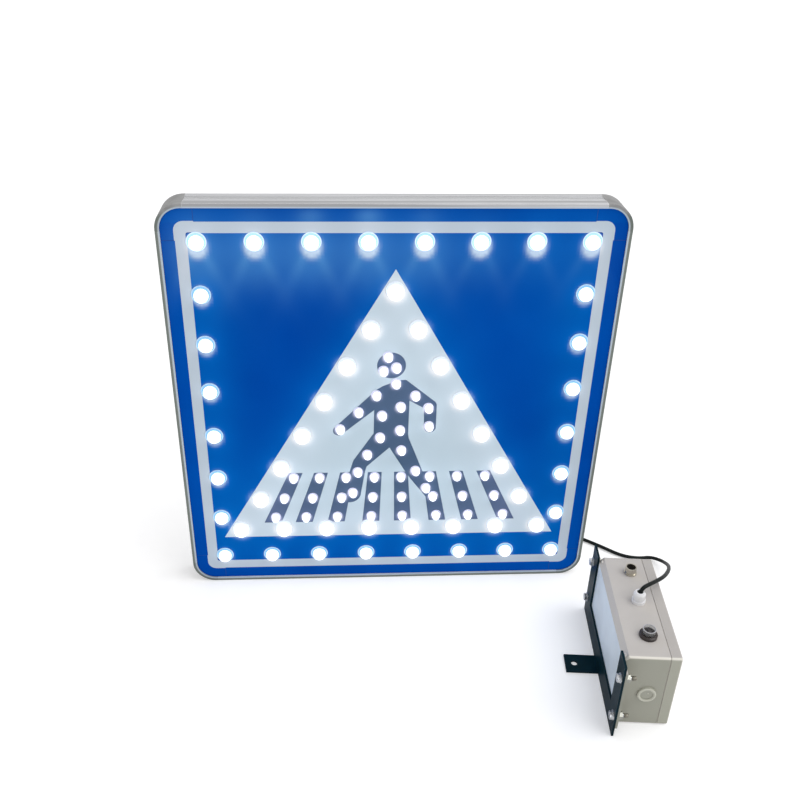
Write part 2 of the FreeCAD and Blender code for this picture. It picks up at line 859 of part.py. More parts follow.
def build_face():
    """The face sheet and every film on it."""
    holes = lamp_holes("face_holes")
    sheet_body = square_body("face_body", "half_plate", "plate_radius", "plate_back_y", "plate_thickness")
    node(cut("face_cut", sheet_body, [holes]), "face_sheet")

    start = size("patch_start")
    seam = size("film_seam") / 2
    shift = size("patch_shift")
    edge_half = size("panel_side / 2 - film_edge_gap")
    edge_radius = size("panel_corner_radius - film_edge_gap")
    outer_half, inner_half = size("band_outer"), size("band_inner")
    whole = rounded_square(edge_half, edge_radius)
    patch_ring = rounded_square(outer_half, size("band_corner_radius"), shift)
    patch_hole = rounded_square(inner_half, size("band_inner_radius"), shift)

    def layer(low_across, high_across, low_up, high_up):
        return flat_shape(rectangle(low_across, high_across, low_up, high_up),
                          "plate_front_y", "film_thickness")

    reach = edge_half + 1
    patch_box = layer(start + seam, reach, start + seam, reach)
    border_patch = whole.cut(patch_ring).common(patch_box)
    border_strip = layer(-start + seam, start - seam, outer_half, edge_half)
    border = four_ways(border_strip) + four_ways(border_patch)
    band_patch = patch_ring.cut(patch_hole).common(layer(start, reach, start, reach))
    band_strip = layer(-start, start, inner_half, outer_half)
    band = Part.makeCompound(four_ways(band_strip) + four_ways(band_patch))
    node(cut("band_film", set_shape("band_sheet", band), [holes]), "film_white_band")

    apex, foot = picture("triangle_apex"), picture("triangle_foot")
    reach_across = picture("triangle_half_base")
    triangle_corners = {"left": (-reach_across, foot), "right": (reach_across, foot), "top": (0.0, apex)}
    triangle = flat_shape(triangle_corners, "plate_front_y", "film_thickness")
    field = rounded_square(inner_half, size("band_inner_radius")).cut(triangle)
    blue = Part.makeCompound(border + [field])
    node(cut("blue_film", set_shape("blue_sheet", blue), [holes]), "film_blue")
    node(cut("triangle_film", set_shape("triangle_sheet", triangle), [holes]), "film_white_triangle")
    build_pictogram(holes)


def bar_shape(name):
    """One crossing bar of dark film, wider at its foot."""
    high, low = picture(name + "_at_top"), picture(name + "_at_foot")
    top, foot = picture("bar_top"), picture("bar_foot")
    half_top, half_foot = picture("bar_top_width / 2"), picture("bar_foot_width / 2")
    corners = {"top_left": (high - half_top, top), "top_right": (high + half_top, top),
               "foot_right": (low + half_foot, foot), "foot_left": (low - half_foot, foot)}
    return flat_shape(corners, "film_front_y", "film_thickness")


def build_pictogram(holes):
    """The dark films: the walker with the bars under the feet, and the other bars."""
    walker = flat_shape({name: point(name) for name in FIGURE_CORNERS}, "film_front_y",
                        "film_thickness", FIGURE_ROUNDS)
    walker = walker.multiFuse([bar_shape(name) for name in BARS_UNDER_FEET]).removeSplitter()
    across, up = point("head_centre")
    centre = FreeCAD.Vector(across, size("film_front_y"), size("half_frame") + up)
    forward = FreeCAD.Vector(0, -1, 0)
    head = Part.makeCylinder(picture("head_radius"), size("film_thickness"), centre, forward)
    others = [bar_shape(name) for name in BARS if name not in BARS_UNDER_FEET]
    flange = Part.makeCylinder(size("lens_flange_radius + lens_fit"), size("film_thickness * 4"))
    front = "figure_front_y - film_thickness"
    clear = Part.makeCompound([placed(flange, spot) for spot in on_face(triangle_spots(), front, "back")])
    room = set_shape("flange_room", clear)
    node(cut("walker_film", set_shape("walker_sheet", Part.makeCompound([walker, head])), [holes, room]),
         "film_dark_walker")
    node(cut("bars_film", set_shape("bars_sheet", Part.makeCompound(others)), [holes, room]),
         "film_dark_bars")


# Lamps: lenses pushed through the face, emitters inside them

def lens(name, radius, flange_radius, height, round_radius, depth):
    """A hollow dome lens with a rim that rests on the film; its axis points out of the face."""
    bore = f"{radius} - lens_wall"
    corners = [
        (bore, f"-({depth})"), (radius, f"-({depth})"), (radius, "0"), (flange_radius, "0"),
        (flange_radius, "lens_flange"), (radius, "lens_flange"), (radius, height), ("0", height),
        ("0", f"{height} - lens_wall"), (bore, f"{height} - lens_wall"),
    ]
    return turned(name, corners, height, round_radius)


def build_lamps():
    """Lenses and emitters for the border, the triangle, the walker and the bars."""
    large = lens("large_lens", "lens_radius", "lens_flange_radius", "lens_height", "lens_round",
                 "board_front_y - film_front_y")
    small = lens("small_lens", "small_lens_radius", "small_flange_radius", "small_lens_height",
                 "small_lens_round", "board_front_y - figure_front_y")
    node(copies("border_lenses", large, on_face(border_spots(), "film_front_y")), "lenses_border")
    node(copies("triangle_lenses", large, on_face(triangle_spots(), "film_front_y")), "lenses_triangle")
    node(copies("walker_lenses", small, on_face(figure_spots(), "figure_front_y")), "lenses_walker")
    node(copies("bar_lenses", small, on_face(bar_spots(), "figure_front_y")), "lenses_bars")
    chip = block("emitter", "emitter_side", "emitter_side", "emitter_height",
                 "-emitter_side / 2", "-emitter_side / 2", "0")
    doc.recompute()
    every = border_spots() + triangle_spots() + figure_spots() + bar_spots()
    node(copies("emitters", chip, on_face(every, "board_front_y")), "led_emitters")


# Boards behind the face, with their spacers and screws

def border_spacer_spots():
    """Two spacers on each border board, halfway between lamps."""
    line = size("border_lamp_line")
    half = size("border_lamp_pitch * 2")
    spots = [(side * half, up) for up in (line, -line) for side in (-1, 1)]
    return spots + [(across, side * half) for across in (-line, line) for side in (-1, 1)]


def build_boards():
    """Four border boards, the pictogram's board, spacers, screws and ribbon leads."""
    line, half = size("border_lamp_line"), size("board_width / 2")
    gap = size("board_gap")
    corners = [
        rectangle(-line - half, line + half, line - half, line + half),
        rectangle(-line - half, line + half, -line - half, -line + half),
        rectangle(-line - half, -line + half, -line + half + gap, line - half - gap),
        rectangle(line - half, line + half, -line + half + gap, line - half - gap),
    ]
    spots = {"border": border_spacer_spots(), "pictogram": [point(name) for name in SPACER_SPOTS]}
    hole = Part.makeCylinder(size("board_screw_radius + screw_fit"), size("board_thickness + 4"))
    every = spots["border"] + spots["pictogram"]
    drill = Part.makeCompound([placed(hole, spot) for spot in on_face(every, "board_back_y + 2")])
    drills = set_shape("board_drills", drill)
    strips = Part.makeCompound([flat_shape(item, "board_back_y", "board_thickness") for item in corners])
    node(cut("border_board_cut", set_shape("border_board_sheet", strips), [drills]), "board_border")
    margin = size("board_margin")
    apex, foot = picture("triangle_lamp_apex"), picture("triangle_lamp_foot")
    edge = line - half
    outline = {"low_left": (-edge, foot - margin), "low_right": (edge, foot - margin),
               "side_right": (edge, foot + margin), "top_right": (margin, apex + margin),
               "top_left": (-margin, apex + margin), "side_left": (-edge, foot + margin)}
    board = flat_shape(outline, "board_back_y", "board_thickness")
    node(cut("inner_board_cut", set_shape("inner_board_sheet", board), [drills]), "board_pictogram")

    tube = turned("spacer", [("board_screw_radius + screw_fit", "0"), ("spacer_radius", "0"),
                             ("spacer_radius", "board_standoff"),
                             ("board_screw_radius + screw_fit", "board_standoff")])
    node(copies("spacers", tube, on_face(every, "plate_back_y", "back")), "board_spacers")
    screw = turned("board_screw", [("0", "-board_screw_length"),
                                   ("board_screw_radius", "-board_screw_length"),
                                   ("board_screw_radius", "0"), ("board_screw_head_radius", "0"),
                                   ("board_screw_head_radius", "board_screw_head"),
                                   ("0", "board_screw_head")])
    node(copies("board_screw_set", screw, on_face(every, "board_back_y", "back")), "board_screws")

    ribbon = size("ribbon_width / 2")
    low = foot - margin / 2
    ribbons = [
        rectangle(-ribbon, ribbon, apex, line),
        rectangle(-ribbon, ribbon, -line, low),
        rectangle(-line, margin - edge, low - ribbon / 2, low + ribbon * 1.5),
        rectangle(edge - margin, line, low - ribbon / 2, low + ribbon * 1.5),
    ]
    leads = [flat_shape(item, "board_back_y + ribbon_thickness", "ribbon_thickness") for item in ribbons]
    node(set_shape("leads", Part.makeCompound(leads)), "ribbon_leads")


# Back cover and what it carries

def screw_row_spots():
    """Places of the cover's screws: three along each side."""
    pitch, line = size("cover_screw_spacing"), size("screw_line")
    spots = []
    for side in (-pitch, 0.0, pitch):
        spots += [(side, line), (side, -line), (line, side), (-line, side)]
    return spots


def rail_heights():
    """Heights of the two back rails above the sign's middle."""
    return {"upper": "rail_spacing / 2", "lower": "-rail_spacing / 2"}


def rivet_spots():
    """Three rivets along each back rail."""
    pitch = size("rivet_spacing")
    return [(side, size(up)) for up in rail_heights().values() for side in (-pitch, 0.0, pitch)]


def build_cover():
    """The back cover with its holes and screws."""
    body = square_body("cover_body", "half_plate", "plate_radius", "cover_back_y", "cover_thickness")
    depth = size("cover_thickness + 4")
    drill = Part.makeCylinder(size("cover_screw_radius + screw_fit"), depth)
    rivet = Part.makeCylinder(size("rivet_radius + screw_fit"), depth)
    gland = Part.makeCylinder(size("gland_thread_radius + screw_fit"), depth)
    level = "cover_front_y - 2"
    gland_spot = [(size("sign_gland_x"), size("sign_gland_z - half_frame"))]
    holes = [placed(drill, spot) for spot in on_face(screw_row_spots(), level, "back")]
    holes += [placed(rivet, spot) for spot in on_face(rivet_spots(), level, "back")]
    holes += [placed(gland, spot) for spot in on_face(gland_spot, level, "back")]
    node(cut("cover_cut", body, [set_shape("cover_holes", Part.makeCompound(holes))]), "back_cover")
    screw = turned("cover_screw", [("0", "-cover_screw_length"),
                                   ("cover_screw_radius", "-cover_screw_length"),
                                   ("cover_screw_radius", "0"), ("cover_screw_head_radius", "0"),
                                   ("cover_screw_head_radius", "cover_screw_head"),
                                   ("0", "cover_screw_head")],
                   "cover_screw_head", "cover_screw_head / 2")
    node(copies("cover_screw_set", screw, on_face(screw_row_spots(), "cover_back_y", "back")),
         "cover_screws")
    flasher = block("flasher", "flasher_length", "flasher_depth", "flasher_height",
                    "-flasher_length / 2", "cover_front_y - flasher_depth",
                    "half_frame - flasher_place - flasher_height / 2")
    node(flasher, "flasher_unit")
    terminal = block("terminal", "terminal_length", "terminal_depth", "terminal_height",
                     "sign_gland_x - terminal_length - gland_nut_radius * 2",
                     "cover_front_y - terminal_depth", "sign_gland_z - terminal_height / 2")
    node(terminal, "terminal_block")


def build_rails():
    """Two slotted rails on the back, their rivets, and the clamp studs in their slots."""
    half, slot = "rail_height / 2", "rail_slot / 2"
    back = "rail_back_y"
    for name, up in rail_heights().items():
        body = doc.addObject("PartDesign::Body", "back_rail_body_" + name)
        corners = [
            ("cover_back_y", f"-({half})"), (back, f"-({half})"), (back, f"-({slot})"),
            (f"{back} - rail_wall", f"-({slot})"), (f"{back} - rail_wall", f"-({half}) + rail_wall"),
            ("cover_back_y + rail_wall", f"-({half}) + rail_wall"),
            ("cover_back_y + rail_wall", f"{half} - rail_wall"),
            (f"{back} - rail_wall", f"{half} - rail_wall"), (f"{back} - rail_wall", slot),
            (back, slot), (back, half), ("cover_back_y", half),
        ]
        padded(body, drawn(body, "YZ_Plane", corners), "rail_length", middle=True)
        holes = [rod(f"rivet_hole_{name}_{index}", "rivet_radius + screw_fit", "rail_wall + 4",
                     side, "cover_back_y - 2", "0", "back")
                 for index, side in enumerate(("-rivet_spacing", "0", "rivet_spacing"))]
        rail = cut("back_rail_cut_" + name, body, holes)
        node(place(rail, up=f"half_frame + {up}"), "back_rail_" + name)
    grip = "rail_wall + cover_thickness"
    rivet = turned("rivet", [("0", "-rivet_head"), ("rivet_head_radius", "-rivet_head"),
                             ("rivet_head_radius", "0"), ("rivet_radius", "0"),
                             ("rivet_radius", grip), ("rivet_head_radius", grip),
                             ("rivet_head_radius", f"{grip} + rivet_head"), ("0", f"{grip} + rivet_head")])
    node(copies("rivets", rivet, on_face(rivet_spots(), "cover_front_y", "back")), "rail_rivets")

    inside = "rail_back_y - rail_wall"
    pitch, rise = "stud_spacing / 2", "rail_spacing / 2"
    spots = [(size(side), size(up)) for up in (rise, f"-({rise})") for side in (pitch, f"-({pitch})")]
    head = block("stud_head_block", "stud_head_wide", "stud_head_long", "stud_head",
                 "-stud_head_wide / 2", "-stud_head_long / 2", "-stud_head")
    neck = "rail_wall + washer_thickness + nut_height + stud_end_gap"
    stud = union("stud_joined", [head, rod("stud_neck", "stud_radius", neck, "0", "0", "0"),
                                 rod("stud_end", "stud_end_radius", "stud_length", "0", "0", "0")])
    doc.recompute()
    node(copies("studs", stud, on_face(spots, inside, "back")), "clamp_studs")
    washer = turned("stud_washer", [("stud_radius + screw_fit", "0"), ("washer_radius", "0"),
                                    ("washer_radius", "washer_thickness"),
                                    ("stud_radius + screw_fit", "washer_thickness")])
    node(copies("washers", washer, on_face(spots, "rail_back_y", "back")), "clamp_washers")
    nut = cut("stud_nut", hexagon("stud_nut_body", "nut_radius", "nut_height", "0", "0", "0"),
              [rod("stud_nut_bore", "stud_radius + screw_fit", "nut_height", "0", "0", "0")])
    doc.recompute()
    node(copies("nuts", nut, on_face(spots, "rail_back_y + washer_thickness", "back")), "clamp_nuts")


# Glands and the cable between them

GLAND_TOP = "gland_height - gland_seal_drop"


def box_frame():
    """Placement of the control box: its back plane, the middle of its length, the floor."""
    base = FreeCAD.Vector(size("box_x"), size("box_y"), 0)
    return FreeCAD.Placement(base, FreeCAD.Rotation(FreeCAD.Vector(0, 0, 1), size("box_turn")))


def in_box(across, away, up, facing="up"):
    """Placement of a fitting given in the box's own directions."""
    spot = FreeCAD.Vector(size(across), size(away), size(up))
    return box_frame().multiply(FreeCAD.Placement(spot, SPIN[facing]))


def gland_places():
    """Where both glands stand on their walls, facing out."""
    sign_spot = on_face([(size("sign_gland_x"), size("sign_gland_z - half_frame"))], "cover_back_y", "back")
    return sign_spot + [in_box("fitting_line", "gland_place", "box_high")]


def build_glands():
    """A gland on the sign and one on the box, each a body, a cap, a seal and a locknut."""
    thread, neck = "gland_thread_radius", "gland_neck_radius"
    bore = "cable_diameter / 2 + 0.4"
    body = turned("gland", [(bore, "-gland_tail"), (thread, "-gland_tail"), (thread, "0"),
                            ("gland_flange_radius", "0"), ("gland_flange_radius", "gland_flange"),
                            (neck, "gland_flange"), (neck, "gland_flange + gland_neck"),
                            (bore, "gland_flange + gland_neck")])
    mouth = "gland_cap_mouth - 1"
    cap = turned("gland_cap", [(f"{neck} + seat_gap", "gland_flange + seat_gap"),
                               ("gland_cap_radius", "gland_flange + seat_gap"),
                               ("gland_cap_radius", "gland_height - 3"),
                               ("gland_cap_mouth + 1", "gland_height"), (mouth, "gland_height"),
                               (mouth, "gland_flange + gland_neck + seat_gap"),
                               (f"{neck} + seat_gap", "gland_flange + gland_neck + seat_gap")])
    seal = turned("gland_seal", [("0", "gland_flange + gland_neck"),
                                 (f"{mouth} - seat_gap", "gland_flange + gland_neck"),
                                 (f"{mouth} - seat_gap", GLAND_TOP), ("0", GLAND_TOP)])
    spots = gland_places()
    node(copies("glands", body, spots), "gland_bodies")
    node(copies("gland_cap_pair", cap, spots), "gland_caps")
    node(copies("gland_seal_pair", seal, spots), "gland_seals")
    nut = turned("gland_nut", [("gland_thread_radius + screw_fit", "-gland_nut"),
                               ("gland_nut_radius", "-gland_nut"), ("gland_nut_radius", "0"),
                               ("gland_thread_radius + screw_fit", "0")])
    walls = ("cover_thickness", "box_wall")
    nuts = [spot.multiply(FreeCAD.Placement(FreeCAD.Vector(0, 0, -size(wall)), SPIN["up"]))
            for spot, wall in zip(spots, walls)]
    node(copies("gland_nut_pair", nut, nuts), "gland_locknuts")


def build_cable():
    """The free cable: straight runs joined by tangent arcs."""
    sign_gland, box_gland = gland_places()
    top, sign_run, box_run = size(GLAND_TOP), size("cable_run_at_sign"), size("cable_run_at_box")
    route = [sign_gland.multVec(FreeCAD.Vector(0, 0, height)) for height in (top, top + sign_run)]
    gland_x = size("sign_gland_x")
    route += [FreeCAD.Vector(gland_x + across, away, up) for across, away, up in CABLE_START]
    route += [FreeCAD.Vector(*spot) for spot in CABLE_POINTS]
    route += [box_gland.multVec(FreeCAD.Vector(0, 0, height)) for height in (top + box_run, top)]
    runs = [route[index + 1] - route[index] for index in range(len(route) - 1)]
    edges, radii, length = [], [], 0.0
    last = route[0]
    for index in range(1, len(route) - 1):
        before, after = runs[index - 1], runs[index]
        turn = before.getAngle(after)
        reach = 0.45 * min(before.Length, after.Length)
        start = route[index] - before * (reach / before.Length)
        end = route[index] + after * (reach / after.Length)
        radius = reach / math.tan(turn / 2)
        inward = (after * (1 / after.Length) - before * (1 / before.Length)).normalize()
        sag = radius / math.cos(turn / 2) - radius
        edges.append(Part.LineSegment(last, start).toShape())
        edges.append(Part.Arc(start, route[index] + inward * sag, end).toShape())
        length += (start - last).Length + radius * turn
        radii.append((round(before.Length, 1), round(math.degrees(turn)), round(radius, 1)))
        last = end
    edges.append(Part.LineSegment(last, route[-1]).toShape())
    length += (route[-1] - last).Length
    radius = size("cable_diameter / 2")
    path = Part.Wire(edges)
    circle = Part.Wire(Part.makeCircle(radius, route[0], runs[0]))
    tube = path.makePipeShell([circle], True, True)
    ideal = math.pi * radius ** 2 * length
    print("cable runs, turns and bend radii", radii)
    print(f"cable length {length:.1f} mm, volume {tube.Volume:.0f} against {ideal:.0f}")
    node(set_shape("cable_tube", tube), "cable")


# Control box: base, lid, bracket

def boxed(thing, name):
    """Place a sub-part of the box and mark it as finished."""
    thing.Placement = FreeCAD.Placement(FreeCAD.Vector(), FreeCAD.Rotation())
    for axis, rule in (("x", "box_x"), ("y", "box_y")):
        thing.setExpression(f"Placement.Base.{axis}", linked(rule))
    thing.setExpression("Placement.Rotation.Angle", linked("box_turn") + " * 1 deg")
    return node(thing, name)


def side_corners(low_away, high_away, low_up, high_up):
    """Corners of a rectangle seen along the box's depth."""
    return [(low_away, low_up), (high_away, low_up), (high_away, high_up), (low_away, high_up)]


def top_holes(name):
    """Holes in the box's top wall for the gland, the socket and the light sensor."""
    level = "box_high - box_wall - 2"
    holes = []
    for part, place_rule, radius in (("gland", "gland_place", "gland_thread_radius"),
                                     ("socket", "socket_place", "socket_radius"),
                                     ("sensor", "sensor_place", "sensor_dome_radius")):
        holes.append(rod(f"{name}_{part}", f"{radius} + screw_fit", "box_wall + 4",
                         "fitting_line", place_rule, level))
    holes.append(rod(name + "_plug", "plug_face_radius + screw_fit", "box_wall + 4",
                     "fitting_line", "-box_half + box_wall + 2", "plug_height", "front"))
    return holes


def post_places():
    """Rules for the four screw posts in the corners of the box."""
    low, high = "box_wall + post_inset", "box_high - box_wall - post_inset"
    return [(side + "post_line", up) for side in ("", "-") for up in (low, high)]


def build_base():
    """The base of the box: a deep tray with ears, corner posts and fitting holes."""
    body = doc.addObject("PartDesign::Body", "base_body")
    padded(body, drawn(body, "YZ_Plane", side_corners("-box_half", "box_half", "0", "box_high")),
           "base_deep")
    inside = side_corners("-box_half + box_wall", "box_half - box_wall", "box_wall", "box_high - box_wall")
    hollow = drawn(body, "YZ_Plane", inside, ("0", "0", "base_deep"))
    pocketed(body, hollow, "base_deep - box_wall")
    floor = size("box_wall") + 1e-6

    def inner_long(edge):
        return runs_along(edge, "y") and 1e-6 < edge.BoundBox.XMax < floor

    rounded(body, inner_long, "box_back_bevel - box_wall * 0.6", "PartDesign::Chamfer")
    rounded(body, lambda edge: runs_along(edge, "y") and edge.BoundBox.XMax < 1e-6, "box_back_bevel",
            "PartDesign::Chamfer")
    end = size("box_half")

    def on_end(edge):
        box = edge.BoundBox
        return box.YLength < 1e-6 and abs(abs(box.YMin) - end) < 1e-6 and box.XLength > 1e-6

    rounded(body, on_end, "box_round")
    ears = []
    for side, low in (("far", "box_half - box_round"), ("near", "-box_half - ear_width")):
        ears.append(block("ear_" + side, "ear_thickness", "ear_width + box_round",
                          "box_high - box_back_bevel * 2 - ear_drop", "0", low,
                          "box_back_bevel + ear_drop / 2"))
    ear_holes = bolt_holes("ear_hole", "-2", "ear_thickness + 4")
    ears_ready = cut("ears_drilled", union("ears_joined", ears), ear_holes)
    inner = block("ears_inside", "base_deep", "box_long - box_wall * 2", "box_high",
                  "box_wall", "-box_half + box_wall", "0")
    posts = [rod(f"post_{index}", "post_radius", "base_deep - box_wall", "box_wall", away, up, "right")
             for index, (away, up) in enumerate(post_places())]
    post_bores = [rod(f"post_bore_{index}", "lid_screw_radius + screw_fit", "lid_screw_length",
                      "base_deep - lid_screw_length + lid_depth", away, up, "right")
                  for index, (away, up) in enumerate(post_places())]
    shell = union("base_joined", [body, cut("ears_trimmed", ears_ready, [inner])] + posts)
    boxed(cut("base_cut", shell, top_holes("base_hole") + post_bores), "box_base")


def build_lid():
    """The lid, its gasket and its four screws."""
    start = "base_deep + gasket"
    body = doc.addObject("PartDesign::Body", "lid_body")
    outline = drawn(body, "YZ_Plane", side_corners("-box_half", "box_half", "0", "box_high"),
                    ("0", "0", start))
    padded(body, outline, "lid_depth")
    rounded(body, lambda edge: runs_along(edge, "x"), "box_round")
    front_level = size("box_deep")
    rounded(body, lambda edge: edge.BoundBox.XMin > front_level - 1e-6, "box_round / 2")
    inset = "box_wall + gasket_width"
    inside = side_corners(f"-box_half + {inset}", f"box_half - {inset}", inset, f"box_high - ({inset})")
    pocketed(body, drawn(body, "YZ_Plane", inside, ("0", "0", start)), "lid_depth - box_wall", reversed=True)
    bores, heads, screws = [], [], []
    for index, (away, up) in enumerate(post_places()):
        bores.append(rod(f"lid_bore_{index}", "lid_screw_radius + screw_fit", "lid_depth + 4",
                         f"{start} - 2", away, up, "right"))
        heads.append(rod(f"lid_seat_{index}", "lid_screw_head_radius + 0.4", "lid_screw_head + 2",
                         "box_deep - lid_screw_head", away, up, "right"))
    boxed(cut("lid_cut", body, bores + heads), "box_lid")
    screw = union("lid_screw_joined", [
        rod("lid_screw_shank", "lid_screw_radius", "lid_screw_length - lid_screw_head", "0", "0", "0"),
        rod("lid_screw_cap", "lid_screw_head_radius", "lid_screw_head", "0", "0",
            "lid_screw_length - lid_screw_head"),
    ])
    doc.recompute()
    spots = [in_box("box_deep - lid_screw_length", away, up, "right") for away, up in post_places()]
    node(copies("lid_screw_set", screw, spots), "lid_screws")
    outer, inner = "gasket_inset", "gasket_inset + gasket_width"
    ring = cut("gasket_ring", block("gasket_outer", "gasket", f"box_long - ({outer}) * 2",
                                    f"box_high - ({outer}) * 2", "base_deep", f"-box_half + {outer}", outer),
               [block("gasket_inner", "gasket", f"box_long - ({inner}) * 2",
                      f"box_high - ({inner}) * 2", "base_deep", f"-box_half + {inner}", inner)]
               + [rod(f"gasket_bore_{index}", "lid_screw_radius + screw_fit", "gasket + 2",
                      "base_deep - 1", away, up, "right")
                  for index, (away, up) in enumerate(post_places())])
    boxed(ring, "lid_gasket")


def bolt_holes(name, start, reach):
    """Holes for the bracket's four bolts, from a depth in the box's own direction."""
    return [rod(f"{name}_{index}", "bolt_radius + screw_fit", reach, start, away, up, "right")
            for index, (away, up) in enumerate(bolt_places())]


def bolt_places():
    """Rules for the four bolts: two up each leg of the bracket."""
    return [(side, up) for side in ("bolt_line", "-bolt_line") for up in ("bolt_high", "bolt_low")]


def build_bracket():
    """The bracket, a U of plate with a foot bent out of its sill, and its bolts."""
    body = doc.addObject("PartDesign::Body", "bracket_body")
    half, inner = "bracket_half", "bracket_half - bracket_leg"
    corners = [(f"-({half})", "0"), (half, "0"), (half, "bracket_top"), (inner, "bracket_top"),
               (inner, "bracket_sill"), (f"-({inner})", "bracket_sill"), (f"-({inner})", "bracket_top"),
               (f"-({half})", "bracket_top")]
    padded(body, drawn(body, "YZ_Plane", corners), "bracket_thickness", reversed=True)
    foot = block("bracket_foot", "foot_reach", "foot_width", "bracket_thickness",
                 "-bracket_thickness - foot_reach", "foot_place - foot_width / 2", "0")
    hole = rod("foot_hole", "foot_hole_radius", "bracket_thickness + 4",
               "-bracket_thickness - foot_reach + foot_hole_inset", "foot_place", "-2")
    plate = union("bracket_joined", [body, foot])
    holes = [hole] + bolt_holes("bracket_hole", "-bracket_thickness - 2", "bracket_thickness + 4")
    boxed(cut("bracket_cut", plate, holes), "box_bracket")

    bolt = union("bolt_joined", [
        hexagon("bolt_cap", "bolt_head_radius", "bolt_head", "0", "0", "-bolt_head"),
        rod("bolt_shank", "bolt_radius", "bolt_length", "0", "0", "0"),
    ])
    nut = cut("bolt_nut", hexagon("bolt_nut_body", "bolt_head_radius", "bolt_nut", "0", "0", "0"),
              [rod("bolt_nut_bore", "bolt_radius + screw_fit", "bolt_nut", "0", "0", "0")])
    washer = turned("bolt_washer_pattern", [("bolt_radius + screw_fit", "0"), ("bolt_washer_radius", "0"),
                                            ("bolt_washer_radius", "bolt_washer"),
                                            ("bolt_radius + screw_fit", "bolt_washer")])
    doc.recompute()
    outer = "-bracket_thickness - bolt_washer"
    spots = {"bolts": outer, "washers": outer, "nuts": "ear_thickness"}
    for kind, pattern in (("bolts", bolt), ("washers", washer), ("nuts", nut)):
        places = [in_box(spots[kind], away, up, "right") for away, up in bolt_places()]
        node(copies("bracket_" + kind + "_set", pattern, places), "bracket_" + kind)


def build_fittings():
    """Charging socket, light sensor and blanking plug of the box."""
    top = ("fitting_line", "socket_place", "box_high")
    shell = turned("socket", [("socket_bore", "-socket_tail"), ("socket_radius", "-socket_tail"),
                              ("socket_radius", "0"), ("socket_flange_radius", "0"),
                              ("socket_flange_radius", "socket_flange"),
                              ("socket_radius", "socket_flange"), ("socket_radius", "socket_height"),
                              ("socket_bore", "socket_height")])
    insert = turned("socket_core", [("0", "-socket_tail"), ("socket_bore - seat_gap / 2", "-socket_tail"),
                                    ("socket_bore - seat_gap / 2", "socket_insert_top"),
                                    ("0", "socket_insert_top")])
    nut = turned("fitting_nut_ring", [("socket_radius + screw_fit", "-box_wall - fitting_nut"),
                                     ("fitting_nut_radius", "-box_wall - fitting_nut"),
                                     ("fitting_nut_radius", "-box_wall"),
                                     ("socket_radius + screw_fit", "-box_wall")])
    spot = [in_box(*top)]
    circle = size("contact_circle")
    bore = Part.makeCylinder(size("contact_radius"), size("contact_depth") + 1)
    pins = []
    for index in range(4):
        angle = math.pi / 4 + math.pi / 2 * index
        lift = FreeCAD.Vector(circle * math.cos(angle), circle * math.sin(angle),
                              size("socket_insert_top - contact_depth"))
        pins.append(placed(bore, FreeCAD.Placement(lift, SPIN["up"])))
    insert = cut("socket_core_drilled", insert, [set_shape("socket_contacts", Part.makeCompound(pins))])
    doc.recompute()
    node(copies("socket_body", shell, spot), "socket_shell")
    node(copies("socket_body_insert", insert, spot), "socket_insert")

    base = turned("sensor_ring", [("sensor_dome_radius + screw_fit", "0"), ("sensor_base_radius", "0"),
                                  ("sensor_base_radius", "sensor_base - 1.5"),
                                  ("sensor_collar_radius + 1", "sensor_base"),
                                  ("sensor_dome_radius + screw_fit", "sensor_base")])
    bore = "sensor_dome_radius - sensor_dome_wall"
    dome = turned("sensor_cap", [(bore, "-socket_tail"), ("sensor_dome_radius", "-socket_tail"),
                                 ("sensor_dome_radius", "sensor_dome_height"),
                                 ("0", "sensor_dome_height"),
                                 ("0", "sensor_dome_height - sensor_dome_wall"),
                                 (bore, "sensor_dome_height - sensor_dome_wall")],
                  "sensor_dome_height", "sensor_dome_wall / 2")
    core = turned("sensor_eye", [("0", "-socket_tail"), (f"{bore} - seat_gap", "-socket_tail"),
                                 (f"{bore} - seat_gap", "0"), ("sensor_core_radius", "0"),
                                 ("sensor_core_radius", "sensor_core_height"), ("0", "sensor_core_height")])
    spot = [in_box("fitting_line", "sensor_place", "box_high")]
    for name, pattern in (("sensor_base", base), ("sensor_dome", dome), ("sensor_core", core)):
        node(copies(name + "_piece", pattern, spot), name)
    node(copies("fitting_nut_pair", nut, [in_box(*top)] + spot), "fitting_nuts")

    tail = "plug_face_radius - 0.2"
    plug = turned("blank", [("0", "-plug_tail"), (tail, "-plug_tail"), (tail, "0"), ("plug_radius", "0"),
                            ("plug_radius", "plug_rim"), ("plug_face_radius", "plug_rim"),
                            ("plug_face_radius", "plug_rim - plug_recess"),
                            ("0", "plug_rim - plug_recess")])
    node(copies("plug_piece", plug, [in_box("fitting_line", "-box_half", "plug_height", "front")]),
         "blanking_plug")


